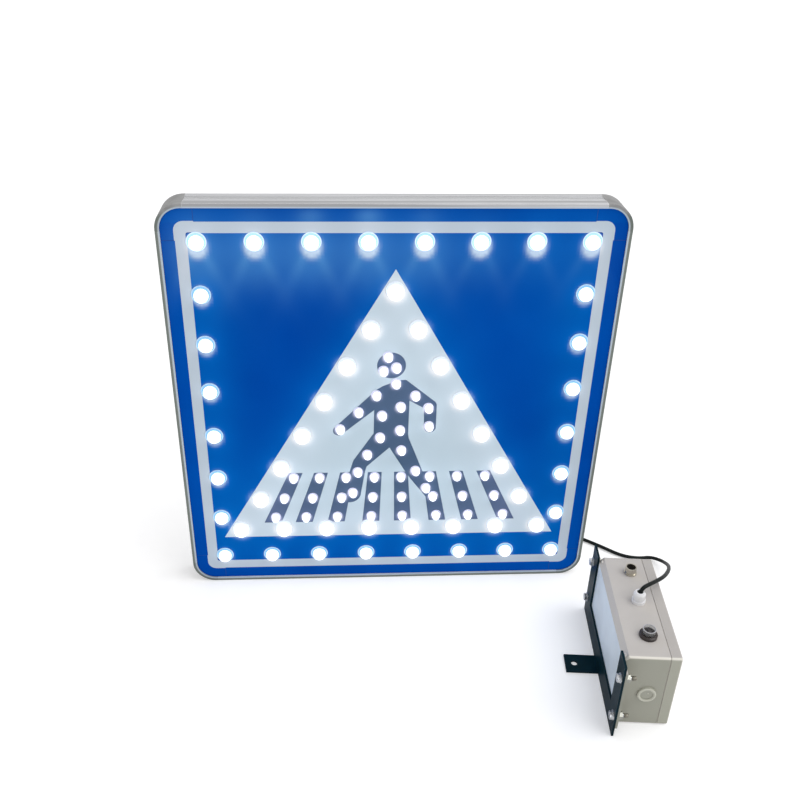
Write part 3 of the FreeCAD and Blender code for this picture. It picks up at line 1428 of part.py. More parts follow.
def build_inside():
    """Battery, controller board, its posts and what is soldered on it."""
    cells = block("battery_cells", "battery_deep", "battery_long", "battery_high",
                  "box_wall + box_back_bevel",
                  "-post_line + post_radius + battery_end_gap", "box_wall")
    boxed(gathered("battery_set", [cells]), "battery")
    low = "box_wall + controller_lift"
    far = "post_line - post_radius - controller_end_gap"
    board = block("controller_plate", "controller_thickness", "controller_long", "controller_high",
                  "box_wall + controller_gap", f"{far} - controller_long", low)
    boxed(gathered("controller_plate_set", [board]), "controller_board")
    inset = "controller_post_radius + 1"
    posts = [rod(f"controller_post_{index}", "controller_post_radius", "controller_gap", "box_wall",
                 away, up, "right")
             for index, (away, up) in enumerate(
                 (away, up) for away in (f"{far} - ({inset})", f"{far} - controller_long + {inset}")
                 for up in (f"{low} + {inset}", f"{low} + controller_high - ({inset})"))]
    boxed(gathered("controller_post_set", posts), "controller_posts")
    front = "box_wall + controller_gap + controller_thickness"
    chips = [
        block("chip_terminals", "10", "controller_long - 24", "9", front,
              f"{far} - controller_long + 12", f"{low} + 2"),
        block("chip_coil", "12", "14", "14", front, f"{far} - controller_long * 0.32", f"{low} + 20"),
        block("chip_logic", "2", "12", "12", front, f"{far} - controller_long * 0.6", f"{low} + 24"),
        block("chip_driver", "4", "16", "9", front, f"{far} - controller_long * 0.63", f"{low} + 50"),
        rod("chip_capacitor", "5", "12", front, f"{far} - controller_long * 0.82", f"{low} + 36",
            "right"),
    ]
    boxed(gathered("chip_set", chips), "controller_chips")


def write_parts():
    """Check every object and every sub-part, then write one STEP file for each."""
    doc.recompute()
    for thing in doc.Objects:
        if "Invalid" in thing.State or "Error" in thing.State:
            raise RuntimeError(thing.Name + " failed: " + str(thing.State))
    for thing in NODES:
        if thing.Shape.isNull() or not thing.Shape.isValid():
            raise RuntimeError(thing.Label + " has no valid shape")
    os.makedirs("parts", exist_ok=True)
    for thing in NODES:
        thing.Shape.exportStep(os.path.join("parts", thing.Label + ".step"))
    print(len(NODES), "sub-parts written")


fill_sheet()
build_frame()
build_face()
build_lamps()
build_boards()
build_cover()
build_rails()
build_glands()
build_cable()
build_base()
build_lid()
build_bracket()
build_fittings()
build_inside()
write_parts()
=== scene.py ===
"""Lit pedestrian crossing sign with its control box: looks, pieces, floor, light and camera.

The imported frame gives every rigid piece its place. This script dresses those pieces, lays the
free cable, sets the lamps' lenses with their rims, cuts the face's films fine enough to carry
the lamps' light, and adds the threads, flutes and screw recesses that a maker would see.
"""

import logging
import math
from dataclasses import dataclass, field
from enum import Enum
from typing import Optional, Sequence

import bmesh
import bpy
import numpy as np
from mathutils import Matrix, Vector

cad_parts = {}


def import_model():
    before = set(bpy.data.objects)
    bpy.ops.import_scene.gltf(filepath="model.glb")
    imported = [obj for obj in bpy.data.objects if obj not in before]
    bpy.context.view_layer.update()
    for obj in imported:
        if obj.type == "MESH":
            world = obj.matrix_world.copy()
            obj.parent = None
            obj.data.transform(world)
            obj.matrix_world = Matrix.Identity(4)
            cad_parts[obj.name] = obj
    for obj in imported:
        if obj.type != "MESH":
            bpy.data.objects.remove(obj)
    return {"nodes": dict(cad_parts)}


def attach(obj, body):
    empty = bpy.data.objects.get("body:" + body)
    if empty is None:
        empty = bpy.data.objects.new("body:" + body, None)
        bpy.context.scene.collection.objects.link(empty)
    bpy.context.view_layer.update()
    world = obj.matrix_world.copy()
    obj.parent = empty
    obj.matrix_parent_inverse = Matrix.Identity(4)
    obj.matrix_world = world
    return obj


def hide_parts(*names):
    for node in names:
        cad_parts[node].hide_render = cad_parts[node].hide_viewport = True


LOG = logging.getLogger("crossing_sign")

# Metres: one millimetre, and the height of the middle of the sign's face.
MM = 0.001
SIGN_MIDDLE = 0.306
# Metres from the face's middle to the centres of its round corners, from there to the line
# between lip and film, and the heights where the lip's painted shade line fades out at the top.
LIP_CENTRE = 0.272
LIP_LINE = 0.0299
LIP_FADE = (0.288, 0.296)
# Millimetres up or down from the face's middle, past which only the end rows of lamps lie.
END_ROWS = 250.0
# Metres: meshes are welded where their points lie closer than this.
WELD = 0.00001

Triple = tuple[float, float, float]
Spot = tuple[float, float]


def paint(red: float, green: float, blue: float) -> tuple[float, float, float, float]:
    """Turn a screen colour into the colour that a shader socket holds.

    Args:
        red: Red, 0 to 255.
        green: Green, 0 to 255.
        blue: Blue, 0 to 255.

    Returns:
        The colour in linear light, with a full alpha.
    """

    def channel(value: float) -> float:
        """Linear light of one channel."""
        share = value / 255.0
        return share / 12.92 if share <= 0.04045 else ((share + 0.055) / 1.055) ** 2.4

    return channel(red), channel(green), channel(blue), 1.0


def shade(colour: Triple, factor: float) -> Triple:
    """A screen colour made lighter or darker, kept between 0 and 255."""
    return tuple(max(0.0, min(255.0, part * factor)) for part in colour)


class Direction(Enum):
    """Which way the fine lines of a drawn or brushed metal run."""

    ALONG_X = (6.0, 900.0, 900.0)
    ALONG_Z = (900.0, 900.0, 6.0)


# Shader building


class Surface:
    """One node material, with short calls that add and wire its nodes."""

    def __init__(self, name: str) -> None:
        """Start a material with one principled shader.

        Args:
            name: The material's name.
        """
        self.material = bpy.data.materials.new(name)
        self.material.use_nodes = True
        self.tree = self.material.node_tree
        self.tree.nodes.clear()
        output = self.tree.nodes.new("ShaderNodeOutputMaterial")
        self.shader = self.tree.nodes.new("ShaderNodeBsdfPrincipled")
        self.tree.links.new(self.shader.outputs["BSDF"], output.inputs["Surface"])

    def add(self, kind: str, **settings: object) -> bpy.types.Node:
        """Add a node and set its plain properties."""
        node = self.tree.nodes.new(kind)
        for name, value in settings.items():
            setattr(node, name, value)
        return node

    def feed(self, source: object, socket: bpy.types.NodeSocket) -> None:
        """Link a socket, or write a plain value, into an input."""
        if isinstance(source, bpy.types.NodeSocket):
            self.tree.links.new(source, socket)
        else:
            socket.default_value = source

    def place(self, stretch: Triple = (1.0, 1.0, 1.0),
              turn: Triple = (0.0, 0.0, 0.0)) -> bpy.types.NodeSocket:
        """Object coordinates, stretched and turned.

        Args:
            stretch: Factor on each axis.
            turn: Rotation about each axis, in degrees.

        Returns:
            The vector socket.
        """
        mapping = self.add("ShaderNodeMapping")
        self.feed(self.add("ShaderNodeTexCoord").outputs["Object"], mapping.inputs["Vector"])
        mapping.inputs["Scale"].default_value = stretch
        mapping.inputs["Rotation"].default_value = tuple(math.radians(angle) for angle in turn)
        return mapping.outputs["Vector"]

    def noise(self, vector: bpy.types.NodeSocket, scale: float, detail: float = 3.0,
              roughness: float = 0.55) -> bpy.types.NodeSocket:
        """Cloudy noise.

        Args:
            vector: Where to read it.
            scale: Features per metre.
            detail: Octaves.
            roughness: Weight of the finer octaves.

        Returns:
            A factor about 0.5.
        """
        node = self.add("ShaderNodeTexNoise")
        self.feed(vector, node.inputs["Vector"])
        node.inputs["Scale"].default_value = scale
        node.inputs["Detail"].default_value = detail
        node.inputs["Roughness"].default_value = roughness
        return node.outputs["Fac"]

    def cells(self, vector: bpy.types.NodeSocket, scale: float,
              edges: bool = False) -> bpy.types.NodeSocket:
        """Distance within Voronoi cells, or to their edges."""
        node = self.add("ShaderNodeTexVoronoi", feature="DISTANCE_TO_EDGE" if edges else "F1")
        self.feed(vector, node.inputs["Vector"])
        node.inputs["Scale"].default_value = scale
        return node.outputs["Distance"]

    def maths(self, operation: str, first: object, second: object = 0.0) -> bpy.types.NodeSocket:
        """One arithmetic step on sockets or numbers."""
        node = self.add("ShaderNodeMath", operation=operation)
        self.feed(first, node.inputs[0])
        self.feed(second, node.inputs[1])
        return node.outputs[0]

    def span(self, value: object, low: float, high: float,
             to_low: float, to_high: float) -> bpy.types.NodeSocket:
        """Map a range onto another and clamp it.

        Args:
            value: What to map.
            low: Value that gives to_low.
            high: Value that gives to_high.
            to_low: Result at low.
            to_high: Result at high.

        Returns:
            The mapped value.
        """
        node = self.add("ShaderNodeMapRange")
        for name, item in (("Value", value), ("From Min", low), ("From Max", high),
                           ("To Min", to_low), ("To Max", to_high)):
            self.feed(item, node.inputs[name])
        return node.outputs["Result"]

    def mix(self, factor: object, first: object, second: object) -> bpy.types.NodeSocket:
        """Blend two colours by a factor."""
        node = self.add("ShaderNodeMix", data_type="RGBA")
        self.feed(factor, node.inputs[0])
        self.feed(first, node.inputs[6])
        self.feed(second, node.inputs[7])
        return node.outputs[2]

    def attribute(self, name: str) -> bpy.types.NodeSocket:
        """A number stored on the mesh."""
        return self.add("ShaderNodeAttribute", attribute_name=name).outputs["Fac"]

    def relief(self, height: object, strength: float, depth: float,
               below: Optional[bpy.types.NodeSocket] = None) -> bpy.types.NodeSocket:
        """Bump from a height.

        Args:
            height: The height, 0 to 1.
            strength: Strength of the bump.
            depth: Height of 1, in metres.
            below: The normal that it stands on.

        Returns:
            The normal.
        """
        node = self.add("ShaderNodeBump")
        node.inputs["Strength"].default_value = strength
        node.inputs["Distance"].default_value = depth
        self.feed(height, node.inputs["Height"])
        if below is not None:
            self.feed(below, node.inputs["Normal"])
        return node.outputs["Normal"]

    def edge(self, reach: float) -> bpy.types.NodeSocket:
        """How near a surface point is to a sharp edge, 0 to about 1."""
        bevel = self.add("ShaderNodeBevel", samples=4)
        bevel.inputs["Radius"].default_value = reach
        product = self.add("ShaderNodeVectorMath", operation="DOT_PRODUCT")
        self.feed(bevel.outputs["Normal"], product.inputs[0])
        self.feed(self.add("ShaderNodeNewGeometry").outputs["Normal"], product.inputs[1])
        return self.span(product.outputs["Value"], 1.0, 0.8, 0.0, 1.0)

    def facing(self, way: Triple, none: float, full: float) -> bpy.types.NodeSocket:
        """How squarely a face looks one way.

        Args:
            way: The direction, in the piece's own axes.
            none: Cosine that gives 0.
            full: Cosine that gives 1.

        Returns:
            The share.
        """
        product = self.add("ShaderNodeVectorMath", operation="DOT_PRODUCT")
        self.feed(self.add("ShaderNodeTexCoord").outputs["Normal"], product.inputs[0])
        product.inputs[1].default_value = tuple(Vector(way).normalized())
        return self.span(product.outputs["Value"], none, full, 0.0, 1.0)

    def rounding(self) -> bpy.types.NodeSocket:
        """1 on the rounded edges of a squared piece, 0 on its flat faces."""
        parts = self.add("ShaderNodeSeparateXYZ")
        self.feed(self.add("ShaderNodeTexCoord").outputs["Normal"], parts.inputs[0])
        sizes = [self.maths("ABSOLUTE", parts.outputs[index]) for index in range(3)]
        most = self.maths("MAXIMUM", self.maths("MAXIMUM", sizes[0], sizes[1]), sizes[2])
        return self.span(most, 0.982, 0.86, 0.0, 1.0)

    def lip(self, colour: bpy.types.NodeSocket, light: Triple, dark: Triple) -> bpy.types.NodeSocket:
        """The frame's front lip: a painted highlight line beside the film, a painted shade line at its
        rounded outside.

        Args:
            colour: The metal's colour so far.
            light: Screen colour of the inner line, the painted highlight.
            dark: Screen colour of the outer line, the painted shade, left out along the top.

        Returns:
            The colour with both lines.
        """
        parts = self.add("ShaderNodeSeparateXYZ")
        self.feed(self.add("ShaderNodeTexCoord").outputs["Object"], parts.inputs[0])
        height = self.maths("SUBTRACT", parts.outputs[2], SIGN_MIDDLE)
        past = []
        for side in (parts.outputs[0], height):
            beyond = self.maths("SUBTRACT", self.maths("ABSOLUTE", side), LIP_CENTRE)
            past.append(self.maths("MAXIMUM", beyond, 0.0))
        squares = [self.maths("MULTIPLY", value, value) for value in past]
        reach = self.maths("SQRT", self.maths("ADD", squares[0], squares[1]))
        front = self.facing((0.0, -1.0, 0.0), 0.3, 0.8)
        inner = self.span(reach, LIP_LINE - 0.0005, LIP_LINE + 0.0005, 1.0, 0.0)
        colour = self.mix(self.maths("MULTIPLY", front, inner), colour, paint(*light))
        outer = self.maths("MULTIPLY", self.span(reach, LIP_LINE - 0.0002, LIP_LINE + 0.0012, 0.0, 1.0),
                           self.span(height, *LIP_FADE, 1.0, 0.0))
        return self.mix(self.maths("MULTIPLY", front, outer), colour, paint(*dark))

    def wear(self, **sockets: object) -> bpy.types.Material:
        """Feed the shader's inputs, named with underscores, and give back the material."""
        for name, source in sockets.items():
            self.feed(source, self.shader.inputs[name.replace("_", " ")])
        return self.material


@dataclass(frozen=True)
class Moulded:
    """Moulded plastic or rubber: spark grain, soft clouding, optional painted highlights and shade."""

    name: str
    colour: Triple
    roughness: float = 0.45
    clouding: float = 0.05
    grain: float = 2600.0
    depth: float = 0.00006
    # Painted light below, all but gloss: lighter edges and rounded edges are painted highlights, the
    # tint is the sign's bluish light painted on the back face, and the near end's colour is painted
    # shade.
    edge_wear_and_highlight: float = 0.0
    gloss: float = 0.4
    rounded: Optional[Triple] = None
    sign_light_tint: Optional[Triple] = None
    ends: Optional[Triple] = None

    def build(self) -> bpy.types.Material:
        """The finished material."""
        surface = Surface(self.name)
        place = surface.place()
        cloud = surface.noise(place, 16.0, 4.0)
        colour = surface.mix(surface.span(cloud, 0.3, 0.7, 0.0, 1.0),
                             paint(*shade(self.colour, 1.0 - self.clouding)),
                             paint(*shade(self.colour, 1.0 + self.clouding)))
        speckle = surface.noise(place, 900.0, 2.0)
        colour = surface.mix(surface.span(speckle, 0.62, 0.78, 0.0, 0.35), colour,
                             paint(*shade(self.colour, 0.86)))
        # Painted highlight: edges lighter, where they catch the light.
        if self.edge_wear_and_highlight:
            worn_and_lit = surface.maths("MULTIPLY", surface.edge(0.0012), self.edge_wear_and_highlight)
            colour = surface.mix(worn_and_lit, colour, paint(*shade(self.colour, 1.14)))
        # Painted shade: the near end is given a darker, greener colour.
        if self.ends:
            near_end_shade = surface.facing((-0.09, -1.0, 0.0), 0.6, 0.95)
            colour = surface.mix(near_end_shade, colour, paint(*self.ends))
        # Painted light: the back face, towards the sign, takes its lamps' bluish light, cloudy.
        if self.sign_light_tint:
            soft = surface.mix(surface.span(surface.noise(place, 11.0, 2.0), 0.35, 0.65, 0.0, 1.0),
                               paint(*self.sign_light_tint), paint(*shade(self.sign_light_tint, 0.92)))
            colour = surface.mix(surface.facing((-1.0, 0.1, 0.0), 0.8, 0.99), colour, soft)
        # Painted highlight: rounded edges lighter, most on the near side.
        if self.rounded:
            near = surface.facing((0.0, -1.0, 0.0), 0.1, 0.5)
            share = surface.maths("MULTIPLY", surface.rounding(),
                                  surface.span(near, 0.0, 1.0, 0.12, 1.0))
            colour = surface.mix(share, colour, paint(*self.rounded))
        grain = surface.noise(place, self.grain, 2.0, 0.7)
        rough = surface.span(surface.noise(place, 60.0, 3.0), 0.3, 0.7,
                             self.roughness - 0.06, self.roughness + 0.08)
        return surface.wear(Base_Color=colour, Roughness=rough, Specular_IOR_Level=self.gloss,
                            Normal=surface.relief(grain, 0.35, self.depth))


@dataclass(frozen=True)
class Drawn:
    """Drawn or rolled metal: long fine lines one way, patches of dulling, faint scratches."""

    name: str
    colour: Triple
    way: Direction
    roughness: float = 0.42
    metal: float = 0.55
    lines: float = 0.10
    groove_shade: float = 0.0
    lipped: bool = False

    def build(self) -> bpy.types.Material:
        """The finished material."""
        surface = Surface(self.name)
        lined = surface.noise(surface.place(self.way.value), 1.0, 4.0, 0.7)
        place = surface.place()
        cloud = surface.noise(place, 14.0, 4.0, 0.6)
        colour = surface.mix(surface.span(lined, 0.3, 0.7, 0.0, 1.0),
                             paint(*shade(self.colour, 1.0 - self.lines)),
                             paint(*shade(self.colour, 1.0 + self.lines * 0.6)))
        colour = surface.mix(surface.span(cloud, 0.42, 0.75, 0.0, 0.45), colour,
                             paint(*shade(self.colour, 0.9)))
        # Painted shade: broad darker stripes along the metal stand for the shade in the rails' grooves.
        if self.groove_shade:
            stretch = tuple(part * 0.24 for part in self.way.value)
            broad = surface.noise(surface.place(stretch), 1.0, 1.0)
            colour = surface.mix(surface.span(broad, 0.44, 0.56, 0.0, 1.0), colour,
                                 paint(*shade(self.colour, 1.0 - self.groove_shade)))
        # Painted highlight: edges lighter, where they catch the light.
        bright = surface.maths("MULTIPLY", surface.edge(0.0011), 0.9)
        colour = surface.mix(bright, colour, paint(*shade(self.colour, 1.22)))
        # Painted highlight and painted shade lines along the lip.
        if self.lipped:
            colour = surface.lip(colour, (198.0, 214.0, 226.0), (126.0, 134.0, 128.0))
        rough = surface.span(cloud, 0.3, 0.7, self.roughness - 0.08, self.roughness + 0.12)
        return surface.wear(Base_Color=colour, Metallic=self.metal, Roughness=rough,
                            Normal=surface.relief(lined, 0.25, 0.00004))


@dataclass(frozen=True)
class Cast:
    """Cast or tumbled metal: a fine pebbled skin with duller and brighter spots."""

    name: str
    colour: Triple
    roughness: float = 0.5
    metal: float = 0.4
    pebble: float = 1400.0
    depth: float = 0.00008
    lipped: bool = False

    def build(self) -> bpy.types.Material:
        """The finished material."""
        surface = Surface(self.name)
        place = surface.place()
        skin = surface.noise(place, self.pebble, 3.0, 0.65)
        cloud = surface.noise(place, 45.0, 4.0, 0.6)
        colour = surface.mix(surface.span(cloud, 0.3, 0.7, 0.0, 1.0),
                             paint(*shade(self.colour, 0.9)), paint(*shade(self.colour, 1.08)))
        # Painted highlight: edges lighter, where they catch the light.
        bright = surface.maths("MULTIPLY", surface.edge(0.0007), 0.45)
        colour = surface.mix(bright, colour, paint(*shade(self.colour, 1.25)))
        # Painted highlight and painted shade lines along the lip.
        if self.lipped:
            colour = surface.lip(colour, (190.0, 204.0, 214.0), (118.0, 126.0, 121.0))
        rough = surface.span(skin, 0.3, 0.7, self.roughness - 0.08, self.roughness + 0.1)
        return surface.wear(Base_Color=colour, Metallic=self.metal, Roughness=rough,
                            Normal=surface.relief(skin, 0.3, self.depth))


@dataclass(frozen=True)
class Plated:
    """Bright zinc plating: bluish crystals, small dull spots and wrench marks."""

    name: str
    colour: Triple = (212.0, 214.0, 217.0)
    roughness: float = 0.26
    crystals: float = 420.0

    def build(self) -> bpy.types.Material:
        """The finished material."""
        surface = Surface(self.name)
        place = surface.place()
        flake = surface.cells(place, self.crystals)
        cloud = surface.noise(place, 120.0, 3.0)
        colour = surface.mix(surface.span(flake, 0.1, 0.8, 0.0, 1.0),
                             paint(*shade(self.colour, 0.88)), paint(*shade(self.colour, 1.06)))
        colour = surface.mix(surface.span(cloud, 0.6, 0.75, 0.0, 0.5), colour, paint(150, 146, 132))
        scratch = surface.noise(surface.place((300.0, 2600.0, 900.0), (20.0, 35.0, 10.0)), 1.0, 2.0)
        rough = surface.span(cloud, 0.3, 0.7, self.roughness - 0.08, self.roughness + 0.14)
        return surface.wear(Base_Color=colour, Metallic=0.85, Roughness=rough,
                            Normal=surface.relief(scratch, 0.2, 0.00003))


@dataclass(frozen=True)
class GlossPaint:
    """Stove paint over steel: orange peel, dust, and edges worn a little lighter."""

    name: str
    colour: Triple
    worn_and_lit: Triple

    def build(self) -> bpy.types.Material:
        """The finished material."""
        surface = Surface(self.name)
        place = surface.place()
        peel = surface.noise(place, 520.0, 2.0, 0.5)
        cloud = surface.noise(place, 20.0, 4.0, 0.6)
        colour = surface.mix(surface.span(cloud, 0.35, 0.7, 0.0, 1.0),
                             paint(*shade(self.colour, 0.85)), paint(*shade(self.colour, 1.25)))
        dust = surface.span(surface.noise(place, 800.0, 2.0, 0.6), 0.66, 0.8, 0.0, 0.3)
        colour = surface.mix(dust, colour, paint(*self.worn_and_lit))
        edge_wear_and_highlight = surface.maths("MULTIPLY", surface.edge(0.0008),
                               surface.span(cloud, 0.3, 0.7, 0.15, 0.8))
        colour = surface.mix(edge_wear_and_highlight, colour, paint(*self.worn_and_lit))
        rough = surface.span(cloud, 0.3, 0.7, 0.26, 0.4)
        return surface.wear(Base_Color=colour, Roughness=rough, Specular_IOR_Level=0.05,
                            Normal=surface.relief(peel, 0.25, 0.00012))


@dataclass(frozen=True)
class Sheeting:
    """Reflective film on the face: prism cells under a clear skin, lit around the lamps."""

    name: str
    colour: Triple
    drift: Triple
    hazy: Triple
    misty: Triple
    bright: Triple
    gloss: float = 0.015
    cell: float = 320.0
    cell_depth: float = 0.05

    def build(self) -> bpy.types.Material:
        """The finished material."""
        surface = Surface(self.name)
        place = surface.place()
        cloud = surface.noise(place, 6.0, 2.0, 0.5)
        colour = surface.mix(surface.span(cloud, 0.3, 0.7, 0.0, 1.0), paint(*self.colour),
                             paint(*self.drift))
        edges = surface.cells(surface.place(turn=(0.0, 45.0, 0.0)), self.cell, edges=True)
        lines = surface.span(edges, 0.0, 0.09, self.cell_depth, 0.0)
        colour = surface.mix(lines, colour, paint(*shade(self.drift, 1.25)))
        # Painted light: the lamps' halo, haze and top-row mist, stored on the film's points, lighten
        # its colour.
        colour = surface.mix(surface.attribute("haze"), colour, paint(*self.hazy))
        colour = surface.mix(surface.attribute("mist"), colour, paint(*self.misty))
        colour = surface.mix(surface.attribute("halo"), colour, paint(*self.bright))
        rough = surface.span(cloud, 0.3, 0.7, 0.34, 0.44)
        return surface.wear(Base_Color=colour, Roughness=rough, Specular_IOR_Level=self.gloss,
                            Specular_Tint=paint(120, 180, 255),
                            Normal=surface.relief(edges, 0.12, 0.00005))


@dataclass(frozen=True)
class LitLens:
    """A lamp's dome while its lamp burns: white light with a faint frosting."""

    name: str
    strength: float = 1.6

    def build(self) -> bpy.types.Material:
        """The finished material."""
        surface = Surface(self.name)
        place = surface.place()
        frost = surface.noise(place, 1500.0, 2.0)
        colour = surface.mix(surface.span(frost, 0.3, 0.7, 0.0, 1.0), paint(222, 230, 246),
                             paint(240, 244, 255))
        return surface.wear(Base_Color=colour, Roughness=surface.span(frost, 0.3, 0.7, 0.12, 0.25),
                            Emission_Color=(0.93, 0.95, 1.0, 1.0), Emission_Strength=self.strength,
                            Normal=surface.relief(frost, 0.15, 0.00003))


@dataclass(frozen=True)
class LensFoot:
    """The clear foot of a dome: it shows the colour under it, deeper towards the sheet."""

    name: str
    colour: Triple

    def build(self) -> bpy.types.Material:
        """The finished material."""
        surface = Surface(self.name)
        frost = surface.noise(surface.place(), 700.0, 2.0)
        colour = surface.mix(surface.span(frost, 0.3, 0.7, 0.0, 1.0),
                             paint(*shade(self.colour, 0.92)), paint(*shade(self.colour, 1.1)))
        return surface.wear(Base_Color=colour, Roughness=surface.span(frost, 0.3, 0.7, 0.1, 0.2),
                            Specular_IOR_Level=0.3, Normal=surface.relief(frost, 0.1, 0.00003))


@dataclass(frozen=True)
class LensCollar:
    """The clear collar round a dome: it takes the film's colour, lightened by its lamp's light painted
    in, with more painted light in its rim.
    """

    name: str
    colour: Triple
    rim: Triple
    glow: Triple = (225.0, 235.0, 255.0)
    level: float = 0.0

    def build(self) -> bpy.types.Material:
        """The finished material."""
        surface = Surface(self.name)
        place = surface.place()
        frost = surface.noise(place, 700.0, 2.0)
        share = surface.attribute("rim")
        share = surface.maths("ADD", share, surface.span(frost, 0.3, 0.7, -0.08, 0.08))
        colour = surface.mix(surface.span(share, 0.0, 1.0, 0.0, 1.0), paint(*self.colour),
                             paint(*self.rim))
        return surface.wear(Base_Color=colour, Roughness=surface.span(frost, 0.3, 0.7, 0.1, 0.22),
                            Specular_IOR_Level=0.25, Emission_Color=paint(*self.glow),
                            Emission_Strength=self.level, Normal=surface.relief(frost, 0.1, 0.00003))


@dataclass(frozen=True)
class Circuit:
    """A circuit board: lacquer over copper tracks."""

    name: str
    colour: Triple

    def build(self) -> bpy.types.Material:
        """The finished material."""
        surface = Surface(self.name)
        tracks = surface.cells(surface.place(), 260.0, edges=True)
        cloud = surface.noise(surface.place(), 50.0, 3.0)
        colour = surface.mix(surface.span(cloud, 0.3, 0.7, 0.0, 1.0), paint(*shade(self.colour, 0.9)),
                             paint(*shade(self.colour, 1.1)))
        colour = surface.mix(surface.span(tracks, 0.0, 0.12, 0.5, 0.0), colour,
                             paint(*shade(self.colour, 1.5)))
        return surface.wear(Base_Color=colour, Roughness=surface.span(cloud, 0.3, 0.7, 0.25, 0.4),
                            Normal=surface.relief(tracks, 0.2, 0.00004))


@dataclass(frozen=True)
class ClearCap:
    """Clear plastic over the light sensor."""

    name: str

    def build(self) -> bpy.types.Material:
        """The finished material."""
        surface = Surface(self.name)
        haze = surface.noise(surface.place(), 300.0, 3.0)
        colour = surface.mix(surface.span(haze, 0.4, 0.7, 0.0, 1.0), paint(236, 238, 240),
                             paint(214, 217, 220))
        return surface.wear(Base_Color=colour, Roughness=surface.span(haze, 0.3, 0.7, 0.02, 0.09),
                            IOR=1.46, Transmission_Weight=0.94, Specular_IOR_Level=0.6)


@dataclass(frozen=True)
class CableJacket:
    """Smooth dark cable jacket with lay lines and scuffs."""

    name: str
    colour: Triple

    def build(self) -> bpy.types.Material:
        """The finished material."""
        surface = Surface(self.name)
        place = surface.place()
        scuff = surface.noise(place, 160.0, 4.0, 0.65)
        fine = surface.noise(place, 2400.0, 2.0)
        colour = surface.mix(surface.span(scuff, 0.45, 0.72, 0.0, 1.0), paint(*self.colour),
                             paint(*shade(self.colour, 1.5)))
        return surface.wear(Base_Color=colour, Roughness=surface.span(scuff, 0.3, 0.7, 0.4, 0.58),
                            Specular_IOR_Level=0.22, Normal=surface.relief(fine, 0.25, 0.00004))


# Geometry nodes


class Recipe:
    """A geometry node tree with named inputs, built step by step and made a plain mesh."""

    def __init__(self, name: str) -> None:
        """Start the tree.

        Args:
            name: The tree's name.
        """
        self.tree = bpy.data.node_groups.new(name, "GeometryNodeTree")
        self.tree.interface.new_socket("Geometry", in_out="INPUT", socket_type="NodeSocketGeometry")
        self.tree.interface.new_socket("Geometry", in_out="OUTPUT", socket_type="NodeSocketGeometry")
        self.entry = self.tree.nodes.new("NodeGroupInput")
        self.exit = self.tree.nodes.new("NodeGroupOutput")
        self.identifiers: dict[str, str] = {}

    def ask(self, name: str, kind: str = "NodeSocketFloat") -> bpy.types.NodeSocket:
        """Add a named input and give the socket to link from."""
        item = self.tree.interface.new_socket(name, in_out="INPUT", socket_type=kind)
        self.identifiers[name] = item.identifier
        return self.entry.outputs[name]

    def add(self, kind: str, inputs: Optional[dict] = None, **settings: object) -> bpy.types.Node:
        """Add a node, set its properties and feed its inputs.

        Args:
            kind: The node's type.
            inputs: Sockets or plain values, by input name or number.
            **settings: Plain properties.

        Returns:
            The node.
        """
        node = self.tree.nodes.new(kind)
        for name, value in settings.items():
            setattr(node, name, value)
        for key, value in (inputs or {}).items():
            if isinstance(value, bpy.types.NodeSocket):
                self.tree.links.new(value, node.inputs[key])
            else:
                node.inputs[key].default_value = value
        return node

    def maths(self, operation: str, first: object, second: object = 0.0) -> bpy.types.NodeSocket:
        """One arithmetic step on sockets or numbers."""
        return self.add("ShaderNodeMath", {0: first, 1: second}, operation=operation).outputs[0]

    def close(self, geometry: bpy.types.NodeSocket) -> None:
        """End the tree with real geometry and its material."""
        finish = self.ask("Finish", "NodeSocketMaterial")
        real = self.add("GeometryNodeRealizeInstances", {"Geometry": geometry})
        dressed = self.add("GeometryNodeSetMaterial",
                           {"Geometry": real.outputs["Geometry"], "Material": finish})
        self.tree.links.new(dressed.outputs["Geometry"], self.exit.inputs["Geometry"])

    def serve(self, name: str, points: Sequence[Vector], values: dict[str, object],
              finish: bpy.types.Material) -> bpy.types.Object:
        """Run the tree on a set of points and keep its result as a plain mesh.

        Args:
            name: The new piece's name.
            points: Where its repeats go, in metres.
            values: The tree's inputs, by name.
            finish: The material.

        Returns:
            The piece, at the origin, unturned and unscaled.
        """
        carrier_mesh = bpy.data.meshes.new(name + "_places")
        carrier_mesh.from_pydata([tuple(point) for point in points], [], [])
        carrier = bpy.data.objects.new(name + "_carrier", carrier_mesh)
        bpy.context.scene.collection.objects.link(carrier)
        modifier = carrier.modifiers.new("Recipe", "NODES")
        modifier.node_group = self.tree
        for key, value in {**values, "Finish": finish}.items():
            modifier[self.identifiers[key]] = value
        bpy.context.view_layer.update()
        graph = bpy.context.evaluated_depsgraph_get()
        mesh = bpy.data.meshes.new_from_object(carrier.evaluated_get(graph))
        carrier.modifiers.remove(modifier)
        bpy.data.objects.remove(carrier)
        bpy.data.meshes.remove(carrier_mesh)
        mesh.name = name
        piece = bpy.data.objects.new(name, mesh)
        bpy.context.scene.collection.objects.link(piece)
        return piece


